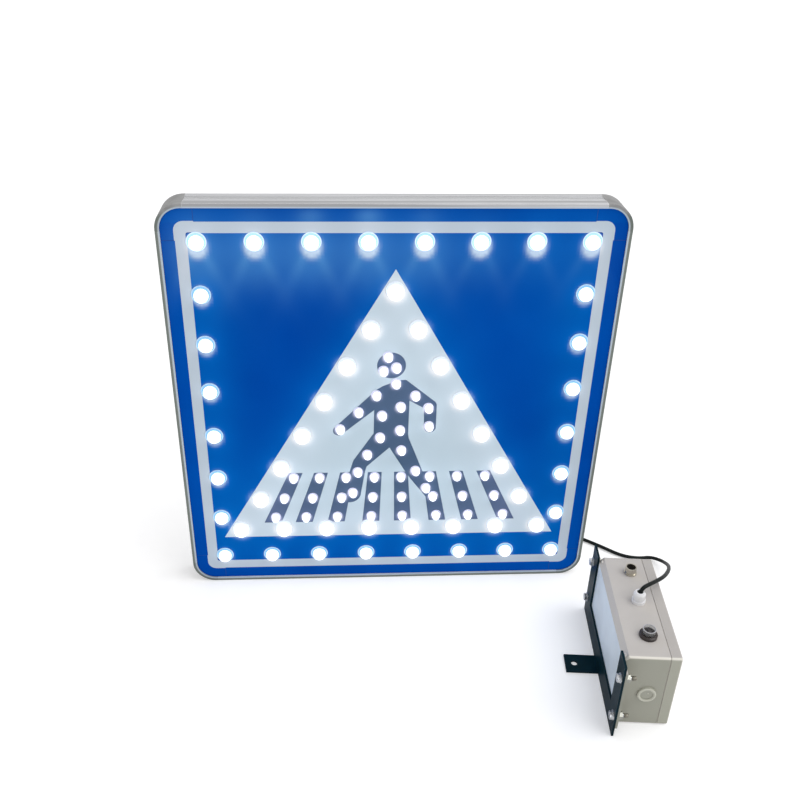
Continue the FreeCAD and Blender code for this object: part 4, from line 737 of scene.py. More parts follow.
def dome_recipe() -> Recipe:
    """A closed dome on a short upright foot at each point, facing along the turned axis."""
    recipe = Recipe("lamp_dome")
    radius, height, round_size = recipe.ask("Radius"), recipe.ask("Height"), recipe.ask("Shoulder")
    sides, rings = recipe.ask("Sides", "NodeSocketInt"), recipe.ask("Rings", "NodeSocketInt")
    turn = recipe.ask("Axis", "NodeSocketRotation")
    disc = recipe.add("GeometryNodeMeshCone", {
        "Vertices": sides, "Side Segments": rings, "Radius Top": 0.0, "Radius Bottom": radius,
        "Depth": 0.0001}, fill_type="TRIANGLE_FAN")
    spot = recipe.add("GeometryNodeInputPosition")
    parts = recipe.add("ShaderNodeSeparateXYZ", {0: spot.outputs[0]})
    flat = recipe.add("ShaderNodeCombineXYZ", {0: parts.outputs[0], 1: parts.outputs[1], 2: 0.0})
    first_reach = recipe.add("ShaderNodeVectorMath", {0: flat.outputs[0]},
                             operation="LENGTH").outputs["Value"]
    on_rim = recipe.maths("GREATER_THAN", first_reach, recipe.maths("MULTIPLY", radius, 0.999))
    spread = recipe.maths("DIVIDE", recipe.maths("MULTIPLY", rings, 0.985),
                          recipe.maths("SUBTRACT", rings, 1.0))
    inside = recipe.maths("SUBTRACT", 1.0, on_rim)
    factor = recipe.maths("ADD", recipe.maths("MULTIPLY", spread, inside), on_rim)
    reach = recipe.maths("MULTIPLY", first_reach, factor)
    start = recipe.maths("SUBTRACT", radius, round_size)
    past = recipe.maths("MAXIMUM", recipe.maths("SUBTRACT", reach, start), 0.0)
    square = recipe.maths("SUBTRACT", recipe.maths("MULTIPLY", round_size, round_size),
                          recipe.maths("MULTIPLY", past, past))
    root = recipe.maths("SQRT", recipe.maths("MAXIMUM", square, 0.0))
    arc = recipe.maths("SUBTRACT", round_size, root)
    crown = recipe.maths("MULTIPLY", recipe.maths("POWER", recipe.maths("DIVIDE", reach, radius), 2.0),
                         recipe.maths("MULTIPLY", height, 0.12))
    top = recipe.maths("SUBTRACT", recipe.maths("SUBTRACT", height, arc), crown)
    level = recipe.maths("MULTIPLY", top, inside)
    placed = recipe.add("ShaderNodeCombineXYZ", {
        0: recipe.maths("MULTIPLY", parts.outputs[0], factor),
        1: recipe.maths("MULTIPLY", parts.outputs[1], factor), 2: level})
    moved = recipe.add("GeometryNodeSetPosition", {
        "Geometry": disc.outputs["Mesh"], "Position": placed.outputs[0]})
    smooth = recipe.add("GeometryNodeSetShadeSmooth", {"Geometry": moved.outputs["Geometry"]})
    copies = recipe.add("GeometryNodeInstanceOnPoints", {
        "Points": recipe.entry.outputs["Geometry"], "Instance": smooth.outputs["Geometry"],
        "Rotation": turn})
    recipe.close(copies.outputs["Instances"])
    return recipe


def clear_foot(piece: bpy.types.Object, level: float, lift: float, finish: bpy.types.Material) -> None:
    """Give the lowest band of every dome its own finish.

    Args:
        piece: The domes.
        level: Where the domes stand, in metres along the sign's depth.
        lift: How high the band reaches, in metres.
        finish: The band's material.
    """
    hidden = 0.2 * MM
    piece.data.materials.append(finish)
    for face in piece.data.polygons:
        if level - lift < face.center.y < level - hidden:
            face.material_index = 1


def collar_recipe() -> Recipe:
    """A flat ring with a raised rounded rim at each point, facing along the turned axis."""
    recipe = Recipe("lens_collar")
    inner, outer = recipe.ask("Inner radius"), recipe.ask("Outer radius")
    lift, bead = recipe.ask("Thickness"), recipe.ask("Bead radius")
    sides, turn = recipe.ask("Sides", "NodeSocketInt"), recipe.ask("Axis", "NodeSocketRotation")
    ring = recipe.add("GeometryNodeCurvePrimitiveCircle", {
        "Resolution": sides, "Radius": recipe.maths("SUBTRACT", outer, bead)})
    section = recipe.add("GeometryNodeCurvePrimitiveCircle", {"Resolution": 8, "Radius": bead})
    rim = recipe.add("GeometryNodeCurveToMesh", {
        "Curve": ring.outputs["Curve"], "Profile Curve": section.outputs["Curve"]})
    raised = recipe.add("GeometryNodeTransform", {
        "Geometry": rim.outputs["Mesh"],
        "Translation": recipe.add("ShaderNodeCombineXYZ", {
            2: recipe.maths("SUBTRACT", lift, bead)}).outputs[0]})
    rim_mark = recipe.add("GeometryNodeStoreNamedAttribute", {
        "Geometry": raised.outputs["Geometry"], "Name": "rim", "Value": 1.0},
        data_type="FLOAT", domain="POINT")
    plate = recipe.add("GeometryNodeMeshCone", {
        "Vertices": sides, "Side Segments": 2, "Radius Top": inner,
        "Radius Bottom": recipe.maths("SUBTRACT", outer, bead),
        "Depth": recipe.maths("MULTIPLY", lift, 0.12)}, fill_type="NONE")
    sunk = recipe.add("GeometryNodeTransform", {
        "Geometry": plate.outputs["Mesh"],
        "Translation": recipe.add("ShaderNodeCombineXYZ", {
            2: recipe.maths("MULTIPLY", lift, 0.6)}).outputs[0]})
    plate_mark = recipe.add("GeometryNodeStoreNamedAttribute", {
        "Geometry": sunk.outputs["Geometry"], "Name": "rim", "Value": 0.0},
        data_type="FLOAT", domain="POINT")
    both = recipe.add("GeometryNodeJoinGeometry")
    for mark in (rim_mark, plate_mark):
        recipe.tree.links.new(mark.outputs["Geometry"], both.inputs["Geometry"])
    smooth = recipe.add("GeometryNodeSetShadeSmooth", {"Geometry": both.outputs["Geometry"]})
    spread = recipe.add("GeometryNodeInstanceOnPoints", {
        "Points": recipe.entry.outputs["Geometry"], "Instance": smooth.outputs["Geometry"],
        "Rotation": turn})
    recipe.close(spread.outputs["Instances"])
    return recipe


def thread_recipe() -> Recipe:
    """A screw thread wound about an axis at each point."""
    recipe = Recipe("screw_thread")
    radius, pitch, turns = recipe.ask("Radius"), recipe.ask("Pitch"), recipe.ask("Turns")
    ridge, turn = recipe.ask("Ridge"), recipe.ask("Axis", "NodeSocketRotation")
    helix = recipe.add("GeometryNodeCurveSpiral", {
        "Resolution": 20, "Rotations": turns, "Start Radius": radius, "End Radius": radius,
        "Height": recipe.maths("MULTIPLY", pitch, turns)})
    section = recipe.add("GeometryNodeCurvePrimitiveCircle", {"Resolution": 4, "Radius": ridge})
    thread = recipe.add("GeometryNodeCurveToMesh", {
        "Curve": helix.outputs["Curve"], "Profile Curve": section.outputs["Curve"], "Fill Caps": True})
    spread = recipe.add("GeometryNodeInstanceOnPoints", {
        "Points": recipe.entry.outputs["Geometry"], "Instance": thread.outputs["Mesh"],
        "Rotation": turn})
    recipe.close(spread.outputs["Instances"])
    return recipe


def flute_recipe() -> Recipe:
    """A ring of upright ribs about an axis at each point."""
    recipe = Recipe("grip_flutes")
    radius, length, wide = recipe.ask("Radius"), recipe.ask("Length"), recipe.ask("Width")
    count, turn = recipe.ask("Count", "NodeSocketInt"), recipe.ask("Axis", "NodeSocketRotation")
    rib = recipe.add("GeometryNodeMeshCylinder", {
        "Vertices": 8, "Radius": recipe.maths("MULTIPLY", wide, 0.5), "Depth": length})
    smooth = recipe.add("GeometryNodeSetShadeSmooth", {"Geometry": rib.outputs["Mesh"]})
    circle = recipe.add("GeometryNodeMeshCircle", {"Vertices": count, "Radius": radius})
    ribs = recipe.add("GeometryNodeInstanceOnPoints", {
        "Points": circle.outputs["Mesh"], "Instance": smooth.outputs["Geometry"]})
    spread = recipe.add("GeometryNodeInstanceOnPoints", {
        "Points": recipe.entry.outputs["Geometry"], "Instance": ribs.outputs["Instances"],
        "Rotation": turn})
    recipe.close(spread.outputs["Instances"])
    return recipe


def recess_recipe() -> Recipe:
    """The cross-shaped driver recess of a screw head at each point."""
    recipe = Recipe("screw_recess")
    long, wide, thick = recipe.ask("Length"), recipe.ask("Width"), recipe.ask("Depth")
    turn = recipe.ask("Axis", "NodeSocketRotation")
    arms = recipe.add("GeometryNodeJoinGeometry")
    for first, second in ((long, wide), (wide, long)):
        size = recipe.add("ShaderNodeCombineXYZ", {0: first, 1: second, 2: thick})
        arm = recipe.add("GeometryNodeMeshCube", {"Size": size.outputs[0]})
        recipe.tree.links.new(arm.outputs["Mesh"], arms.inputs["Geometry"])
    spread = recipe.add("GeometryNodeInstanceOnPoints", {
        "Points": recipe.entry.outputs["Geometry"], "Instance": arms.outputs["Geometry"],
        "Rotation": turn})
    recipe.close(spread.outputs["Instances"])
    return recipe


# Shared bench


@dataclass
class Bench:
    """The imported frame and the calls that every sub-assembly shares."""

    nodes: dict[str, bpy.types.Object]

    def dress(self, finish: bpy.types.Material, *names: str) -> None:
        """Give CAD nodes a finish.

        Args:
            finish: The material.
            *names: The nodes.
        """
        for name in names:
            for slot in self.nodes[name].material_slots:
                slot.material = finish
            LOG.info("dressed %s with %s", name, finish.name)

    def keep(self, piece: bpy.types.Object, slot: str, *replaced: str) -> bpy.types.Object:
        """Make a new piece ride with the sign and stand for the nodes that it replaces.

        Args:
            piece: The new piece.
            slot: The record's material slot that it belongs to. Not used.
            *replaced: CAD nodes that it stands for.

        Returns:
            The piece.
        """
        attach(piece, "root")
        if replaced:
            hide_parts(*replaced)
        count = len(piece.data.polygons) if piece.type == "MESH" else 0
        LOG.info("made %s, %d faces, for %s", piece.name, count, replaced or "detail")
        return piece


@dataclass(frozen=True)
class BoxPlace:
    """Where the control box stands: its back plane's foot, and its small turn."""

    x: float = 288.8
    y: float = -220.3
    turn: float = -5.2

    def at(self, across: float, away: float, up: float) -> Vector:
        """A point given in the box's own directions, in millimetres, as a point of the scene."""
        angle = math.radians(self.turn)
        return Vector((self.x + across * math.cos(angle) - away * math.sin(angle),
                       self.y + across * math.sin(angle) + away * math.cos(angle), up)) * MM

    def facing(self, tilt: Triple) -> tuple[float, float, float]:
        """An Euler turn for a piece on the box, from a tilt in degrees about its own axes."""
        turn = Matrix.Rotation(math.radians(self.turn), 3, "Z")
        for axis, angle in zip("XYZ", tilt):
            turn = turn @ Matrix.Rotation(math.radians(angle), 3, axis)
        return tuple(turn.to_euler())


# Sub-assemblies


@dataclass
class Camera:
    """The camera that took the photograph, worked out from the sign's corners and lamps."""

    place: Triple = (-0.07485, -1.12523, 0.97263)
    right: Triple = (0.99858556, -0.05013638, 0.01769827)
    down: Triple = (-0.01001538, -0.50428969, -0.86347646)
    forward: Triple = (0.05221665, 0.86207787, -0.50407853)
    focal_pixels: float = 906.0
    centre_pixels: float = 387.36
    image: float = 800.0

    def build(self) -> bpy.types.Object:
        """Set the camera up and make it the scene's.

        Returns:
            The camera.
        """
        data = bpy.data.cameras.new("photo_camera")
        data.sensor_width = 36.0
        data.sensor_fit = "HORIZONTAL"
        data.lens = self.focal_pixels / self.image * data.sensor_width
        data.shift_x = (self.image / 2 - self.centre_pixels) / self.image
        data.clip_start, data.clip_end = 0.05, 60.0
        camera = bpy.data.objects.new("photo_camera", data)
        bpy.context.scene.collection.objects.link(camera)
        columns = (Vector(self.right), -Vector(self.down), -Vector(self.forward))
        turn = Matrix(columns).transposed().to_4x4()
        camera.matrix_world = Matrix.Translation(self.place) @ turn
        bpy.context.scene.camera = camera
        LOG.info("camera with a %.2f mm lens", data.lens)
        return camera


@dataclass
class FeedCable:
    """The limp cable that lies from the sign's gland to the control box."""

    diameter: float = 5.5
    length: float = 592.0
    route: tuple[Triple, ...] = (
        (235.0, 36.4, 48.0), (235.0, 67.0, 48.0), (249.0, 91.0, 25.0), (284.0, 90.0, 3.4),
        (327.0, 65.0, 3.0), (357.5, 41.5, 3.0), (387.0, 15.5, 3.0), (413.5, 8.5, 3.0),
        (433.0, 9.5, 4.3), (444.5, -4.5, 9.5), (445.0, -25.0, 20.5), (437.0, -52.0, 39.5),
        (419.5, -92.5, 71.0), (398.5, -138.0, 104.0), (373.0, -182.0, 131.5),
        (350.5, -203.0, 141.0), (338.5, -212.0, 144.2), (330.4, -216.8, 143.2),
        (327.685, -217.814, 137.4))

    def build(self, bench: Bench) -> bpy.types.Object:
        """Args:
            bench: The shared bench.

        Returns:
            The cable.
        """
        curve = bpy.data.curves.new("feed_cable", "CURVE")
        curve.dimensions = "3D"
        curve.resolution_u = 10
        curve.bevel_depth = self.diameter / 2 * MM
        curve.bevel_resolution = 5
        curve.use_fill_caps = True
        spline = curve.splines.new("NURBS")
        spline.points.add(len(self.route) - 1)
        for point, spot in zip(spline.points, self.route):
            point.co = (*(part * MM for part in spot), 1.0)
        spline.order_u = 3
        spline.use_endpoint_u = True
        cable = bpy.data.objects.new("feed_cable", curve)
        bpy.context.scene.collection.objects.link(cable)
        curve.materials.append(CableJacket("cable_jacket_dark", (10.0, 17.0, 16.0)).build())
        bench.keep(cable, "cable_jacket", "cable")
        return cable


@dataclass
class SignFrame:
    """The four extruded rails and the four corners."""

    rail_colour: Triple = (220.0, 221.0, 224.0)
    corner_colour: Triple = (160.0, 160.0, 160.0)
    # How dark the painted shade of the rails' grooves is.
    groove_shade: float = 0.2

    def build(self, bench: Bench) -> None:
        """Dress the frame."""
        level = Drawn("anodised_across", self.rail_colour, Direction.ALONG_X, metal=0.3,
                      groove_shade=self.groove_shade, lipped=True).build()
        upright = Drawn("anodised_upright", self.rail_colour, Direction.ALONG_Z, metal=0.3,
                        groove_shade=self.groove_shade, lipped=True).build()
        bench.dress(level, "frame_rail_top", "frame_rail_bottom")
        bench.dress(upright, "frame_rail_left", "frame_rail_right")
        corners = Cast("corner_skin", self.corner_colour, lipped=True).build()
        bench.dress(corners, *(f"frame_corner_{side}" for side in
                               ("top_right", "bottom_right", "bottom_left", "top_left")))


@dataclass
class Lamps:
    """Places of every lamp on the face, across and up from its middle, in millimetres."""

    border_line: float = 255.5
    border_pitch: float = 73.0
    triangle_pitch: float = 65.0
    triangle_apex: float = 188.0
    triangle_foot: float = -204.3
    bar_rows: Triple = (-110.5, -147.0, -182.5)
    bar_top: float = -104.0
    bar_foot: float = -194.6
    bars: tuple[Spot, ...] = (
        (-141.5, -178.5), (-104.0, -131.3), (-65.5, -82.5), (-24.3, -29.5),
        (14.5, 19.0), (56.5, 72.3), (96.6, 122.8), (137.6, 178.6))
    walker: tuple[Spot, ...] = (
        (-8.2, 90.3), (3.7, 73.1), (-14.3, 68.1), (3.6, 47.9), (-23.7, 29.1), (-48.8, 1.7),
        (-75.3, -26.5), (11.1, 9.9), (-15.2, -4.3), (11.0, -29.2), (-17.7, -41.2),
        (31.6, 28.0), (50.9, 7.7), (52.6, -22.8), (-36.0, -70.6), (-49.9, -101.3),
        (-57.2, -138.5), (13.8, -63.7), (35.6, -100.2), (52.1, -131.6))

    def border_spots(self) -> list[Spot]:
        """Lamps round the border, the corner lamps once each."""
        steps = [-self.border_line + self.border_pitch * index for index in range(8)]
        spots = [(across, up) for up in (self.border_line, -self.border_line) for across in steps]
        return spots + [(across, up) for across in (-self.border_line, self.border_line)
                        for up in steps[1:-1]]

    def triangle_spots(self) -> list[Spot]:
        """Lamps round the triangle."""
        spots: list[Spot] = [(0.0, self.triangle_apex)]
        fall = self.triangle_foot - self.triangle_apex
        for index in range(1, 7):
            up = self.triangle_apex + fall * index / 7
            spots += [(side * self.triangle_pitch / 2 * index, up) for side in (-1, 1)]
        return spots + [(self.triangle_pitch * (index - 3.5), self.triangle_foot) for index in range(8)]

    def bar_spots(self) -> list[Spot]:
        """Three lamps down each crossing bar."""
        spots = []
        for high, low in self.bars:
            for up in self.bar_rows:
                share = (self.bar_top - up) / (self.bar_top - self.bar_foot)
                spots.append((high + (low - high) * share, up))
        return spots

    def points(self, spots: Sequence[Spot], depth: float) -> list[Vector]:
        """Face spots as points of the scene, at a depth in millimetres."""
        return [Vector((across * MM, depth * MM, up * MM + SIGN_MIDDLE)) for across, up in spots]


@dataclass(frozen=True)
class Glow:
    """How one kind of lamp lights the film round it. Lengths are in millimetres.

    The bright core has a radius and sits below the lamp by sink. Past it, the halo fades over
    near and the haze over far, from their own strengths of 0 to 1.
    """

    radius: float
    near: float
    far: float
    halo: float
    haze: float
    sink: float
    squeeze: float = 1.0


@dataclass(frozen=True)
class Glare:
    """Pale light from a lamp of the top row: a pool and two beams below it, a patch above it.

    Lengths are in millimetres. Pool and beams fade to the right, between two places across.
    Their strengths are a base and what is added where nothing has faded.
    """

    fall: float = 7.0
    spread: float = 1.5
    fade_from: float = -40.0
    fade_length: float = 220.0
    pool: Spot = (0.03, 0.21)
    pool_drop: float = 16.0
    pool_squeeze: float = 0.8
    pool_reach: float = 27.0
    beams: Spot = (0.35, 0.65)
    beam: float = 0.6
    beam_lean: float = 26.0
    beam_start: float = 8.0
    beam_reach: float = 30.0
    beam_width: float = 3.4
    beam_widening: float = 0.1
    patch: float = 0.34
    patch_rise: float = 33.0
    patch_squeeze: float = 1.4
    patch_reach: float = 15.0
    patch_centre: float = -60.0
    patch_spread: float = 75.0

    def shares(self, across: float, side: np.ndarray, rise: np.ndarray,
               core: float) -> tuple[np.ndarray, np.ndarray, np.ndarray]:
        """How strongly one lamp's glare shows at each place.

        Args:
            across: The lamp's place across the face, from its middle.
            side: The places, across from the lamp.
            rise: The places, up from the lamp.
            core: Radius of the lamp's bright core.

        Returns:
            The pool's, the beams' and the patch's shares, each 0 to 1.
        """
        faded = min(max((across - self.fade_from) / self.fade_length, 0.0), 1.0)
        share = 0.5 + 0.5 * math.cos(math.pi * faded)
        below = np.hypot(side, (rise + self.pool_drop) * self.pool_squeeze)
        pool = np.exp(-((np.maximum(below - core, 0.0) / self.pool_reach) ** 1.8))
        centred = math.exp(-(((across - self.patch_centre) / self.patch_spread) ** 2))
        above = np.hypot(side, (rise - self.patch_rise) * self.patch_squeeze)
        patch = np.exp(-((above / self.patch_reach) ** 2))
        return ((self.pool[0] + self.pool[1] * share) * pool,
                (self.beams[0] + self.beams[1] * share) * self.streaks(side, rise),
                self.patch * centred * patch)

    def streaks(self, side: np.ndarray, rise: np.ndarray) -> np.ndarray:
        """Two faint beams that spread down the face from a lamp."""
        total = np.zeros(len(side))
        for lean in (-self.beam_lean, self.beam_lean):
            angle = math.radians(lean)
            along = side * math.sin(angle) - rise * math.cos(angle)
            aside = side * math.cos(angle) + rise * math.sin(angle)
            width = self.beam_width + self.beam_widening * np.maximum(along, 0.0)
            lit = self.beam * np.exp(-np.maximum(along, 0.0) / self.beam_reach)
            total += np.where(along > self.beam_start, lit * np.exp(-((aside / width) ** 2)), 0.0)
        return total


@dataclass
class Face:
    """Face sheet and films, cut fine enough that the lamps' light can lie on them."""

    lamps: Lamps
    border_glow: Glow = Glow(12.0, 3.0, 28.0, 0.72, 0.38, 3.2, 1.2)
    triangle_glow: Glow = Glow(12.0, 4.2, 20.0, 0.97, 0.4, 3.8)
    figure_glow: Glow = Glow(5.6, 2.0, 8.0, 0.9, 0.12, 3.4)
    glare: Glare = Glare()
    low_row_halo: float = 0.3
    rim: float = 281.0
    rim_haze: float = 0.3
    wide_pitch: float = 4.2
    fine_pitch: float = 2.0
    blue: Triple = (0.0, 66.0, 168.0)
    blue_drift: Triple = (0.0, 84.0, 186.0)
    band: Triple = (198.0, 212.0, 224.0)
    white: Triple = (206.0, 226.0, 238.0)
    slate: Triple = (78.0, 101.0, 128.0)

    def light(self, spots: np.ndarray) -> tuple[np.ndarray, np.ndarray, np.ndarray]:
        """How strongly the lamps light each place on the face.

        Args:
            spots: Places, one row each: across and up from the middle, in millimetres.

        Returns:
            The narrow halo, the wide haze and the pale mist of the top row, each 0 to 1.
        """
        halo, haze, mist = np.ones(len(spots)), np.ones(len(spots)), np.ones(len(spots))
        groups = ((self.lamps.border_spots(), self.border_glow),
                  (self.lamps.triangle_spots(), self.triangle_glow),
                  (self.lamps.bar_spots(), self.figure_glow),
                  (list(self.lamps.walker), self.figure_glow))
        farthest = np.maximum(np.abs(spots[:, 0]), np.abs(spots[:, 1]))
        on_rim = (farthest > self.rim) & (spots[:, 1] < self.rim)
        dim = np.where(on_rim, self.rim_haze, 1.0)
        for places, glow in groups:
            for across, up in places:
                side, rise = spots[:, 0] - across, spots[:, 1] - up
                fall, reach, most = glow.sink, 1.0, glow.halo
                if up > END_ROWS:
                    fall, reach, most = self.glare.fall, self.glare.spread, 1.0
                elif up < -END_ROWS:
                    most = self.low_row_halo
                past = np.maximum(np.hypot(side * glow.squeeze, rise + fall) - glow.radius, 0.0)
                halo *= 1.0 - most * np.exp(-((past / glow.near / reach) ** 1.6))
                haze *= 1.0 - glow.haze * dim * np.exp(-past / glow.far)
                if up > END_ROWS:
                    for share in self.glare.shares(across, side, rise, glow.radius):
                        mist *= 1.0 - share
        return 1.0 - halo, 1.0 - haze, 1.0 - mist

    def cut_fine(self, node: bpy.types.Object, name: str, pitch: float) -> bpy.types.Object:
        """Copy a film's mesh, cut it by a square grid and store the lamps' light on it.

        Args:
            node: The film's CAD node.
            name: The new piece's name.
            pitch: Grid pitch, in millimetres.

        Returns:
            The new piece.
        """
        work = bmesh.new()
        work.from_mesh(node.data)
        bmesh.ops.remove_doubles(work, verts=work.verts, dist=WELD)
        places = np.array([tuple(vertex.co) for vertex in work.verts])
        for axis in (0, 2):
            low, high = places[:, axis].min() / MM, places[:, axis].max() / MM
            level = math.floor(low / pitch) * pitch + pitch
            while level < high:
                centre, normal = [0.0, 0.0, 0.0], [0.0, 0.0, 0.0]
                centre[axis], normal[axis] = level * MM, 1.0
                bmesh.ops.bisect_plane(work, geom=work.verts[:] + work.edges[:] + work.faces[:],
                                       dist=WELD, plane_co=centre, plane_no=normal)
                level += pitch
        bmesh.ops.triangulate(work, faces=work.faces[:])
        mesh = bpy.data.meshes.new(name)
        work.to_mesh(mesh)
        work.free()
        spots = np.array([(vertex.co.x / MM, (vertex.co.z - SIGN_MIDDLE) / MM)
                          for vertex in mesh.vertices])
        for label, values in zip(("halo", "haze", "mist"), self.light(spots)):
            stored = mesh.attributes.new(label, "FLOAT", "POINT")
            stored.data.foreach_set("value", values.astype(np.float32))
        piece = bpy.data.objects.new(name, mesh)
        bpy.context.scene.collection.objects.link(piece)
        return piece

    def build(self, bench: Bench) -> None:
        """Make and dress the films, and dress the sheet under them."""
        blue = Sheeting("film_blue_lit", self.blue, self.blue_drift, (4.0, 134.0, 222.0),
                        (118.0, 188.0, 244.0), (214.0, 234.0, 255.0)).build()
        band = Sheeting("film_band_lit", self.band, shade(self.band, 1.03), (214.0, 226.0, 240.0),
                        (240.0, 244.0, 255.0), (254.0, 254.0, 255.0), cell_depth=0.03).build()
        white = Sheeting("film_white_lit", self.white, shade(self.white, 1.03), (232.0, 242.0, 252.0),
                         (244.0, 248.0, 255.0), (255.0, 255.0, 255.0), cell_depth=0.03).build()
        dark = Sheeting("film_dark_lit", self.slate, shade(self.slate, 1.05), (124.0, 134.0, 176.0),
                        (150.0, 160.0, 196.0), (236.0, 234.0, 252.0), gloss=0.1,
                        cell_depth=0.08).build()
        plan = (("film_blue", "face_film_blue", self.wide_pitch, blue, "film_blue"),
                ("film_white_band", "face_film_band", self.wide_pitch, band, "film_white"),
                ("film_white_triangle", "face_film_triangle", self.wide_pitch, white, "film_white"),
                ("film_dark_walker", "face_film_walker", self.fine_pitch, dark, "film_dark"),
                ("film_dark_bars", "face_film_bars", self.fine_pitch, dark, "film_dark"))
        for node, name, pitch, finish, slot in plan:
            piece = self.cut_fine(bench.nodes[node], name, pitch)
            piece.data.materials.append(finish)
            bench.keep(piece, slot, node)
        sheet = Drawn("face_sheet_painted", (14.0, 78.0, 170.0), Direction.ALONG_X, 0.5, 0.0).build()
        bench.dress(sheet, "face_sheet")


@dataclass(frozen=True)
class LensSize:
    """What the lenses of one size share. Lengths are in millimetres.

    The collar's outer radius, the depth of the film that it lies on, how finely dome and collar
    are cut, and the radius of the collar's bead.
    """

    collar: float
    film: float
    sides: int
    rings: int
    bead: float


@dataclass
class Lenses:
    """Domes and collars of all the lamps, and what lies behind them.

    A dome sits beside its hole by its lean, so its collar reaches in under it by that and tuck.
    """

    lamps: Lamps
    border_dome: Triple = (9.6, 10.5, 6.5)
    triangle_dome: Triple = (10.7, 12.5, 7.0)
    small_dome: Triple = (5.5, 12.0, 5.0)
    foot: float = 0.8
    border_lean: Spot = (0.1, -1.0)
    triangle_lean: Spot = (0.4, -2.5)
    walker_lean: Spot = (0.8, -1.2)
    bars_lean: Spot = (-0.4, -1.3)
    tuck: float = 0.2
    large: LensSize = LensSize(13.3, -18.8, 32, 9, 0.75)
    small: LensSize = LensSize(7.4, -19.1, 20, 7, 0.4)
    front: Triple = (math.pi / 2, 0.0, 0.0)
    collar_thickness: float = 1.2

    def build(self, bench: Bench) -> None:
        """Set every lens."""
        dome, collar = dome_recipe(), collar_recipe()
        lit = LitLens("lens_lit").build()
        foot = LensFoot("lens_foot_blue", (84.0, 142.0, 210.0)).build()
        # Collar colours: each film's colour with its lamp's light painted in.
        over_blue = LensCollar("collar_over_blue", (142.0, 194.0, 236.0), (200.0, 230.0, 250.0),
                               (150.0, 195.0, 250.0), 0.08).build()
        in_glare = LensCollar("collar_in_glare", (160.0, 206.0, 248.0), (220.0, 236.0, 255.0),
                              (190.0, 220.0, 255.0), 0.3).build()
        over_white = LensCollar("collar_over_white", (222.0, 230.0, 238.0), (226.0, 234.0, 242.0),
                                level=0.1).build()
        over_dark = LensCollar("collar_over_dark", (206.0, 206.0, 232.0), (226.0, 226.0, 246.0),
                               level=0.1).build()
        plan = (
            ("border", self.lamps.border_spots(), self.border_dome, self.border_lean, self.large,
             over_blue),
            ("triangle", self.lamps.triangle_spots(), self.triangle_dome, self.triangle_lean,
             self.large, over_white),
            ("walker", list(self.lamps.walker), self.small_dome, self.walker_lean, self.small,
             over_dark),
            ("bars", self.lamps.bar_spots(), self.small_dome, self.bars_lean, self.small, over_dark),
        )
        for name, spots, (radius, height, shoulder), lean, size, finish in plan:
            shift = Vector((lean[0], 0.0, lean[1])) * MM
            seats = [point + shift for point in self.lamps.points(spots, size.film)]
            domes = dome.serve(f"{name}_lamp_domes", seats, {
                "Radius": radius * MM, "Height": height * MM, "Shoulder": shoulder * MM,
                "Sides": size.sides, "Rings": size.rings, "Axis": self.front}, lit)
            if name == "border":
                clear_foot(domes, size.film * MM, self.foot * MM, foot)
            bench.keep(domes, "lens", "lenses_" + name)
            rings = [(f"{name}_lamp_collars", spots, finish)]
            if name == "border":
                top = [spot for spot in spots if spot[1] > END_ROWS]
                rings = [("border_lamp_collars", [spot for spot in spots if spot not in top], finish),
                         ("top_lamp_collars", top, in_glare)]
            for ring_name, places, ring_finish in rings:
                collars = collar.serve(ring_name, self.lamps.points(places, size.film), {
                    "Inner radius": (radius - math.hypot(*lean) - self.tuck) * MM,
                    "Outer radius": size.collar * MM, "Thickness": self.collar_thickness * MM,
                    "Bead radius": size.bead * MM, "Sides": size.sides,
                    "Axis": self.front}, ring_finish)
                bench.keep(collars, "lens")
        bench.dress(LitLens("emitter_lit", 2.0).build(), "led_emitters")
        bench.dress(Circuit("board_lacquer", (22.0, 92.0, 60.0)).build(),
                    "board_border", "board_pictogram", "controller_board")
        bench.dress(Moulded("spacer_nylon_white", (222.0, 222.0, 214.0)).build(), "board_spacers")
        bench.dress(Moulded("ribbon_grey", (150.0, 152.0, 156.0), 0.4).build(), "ribbon_leads")


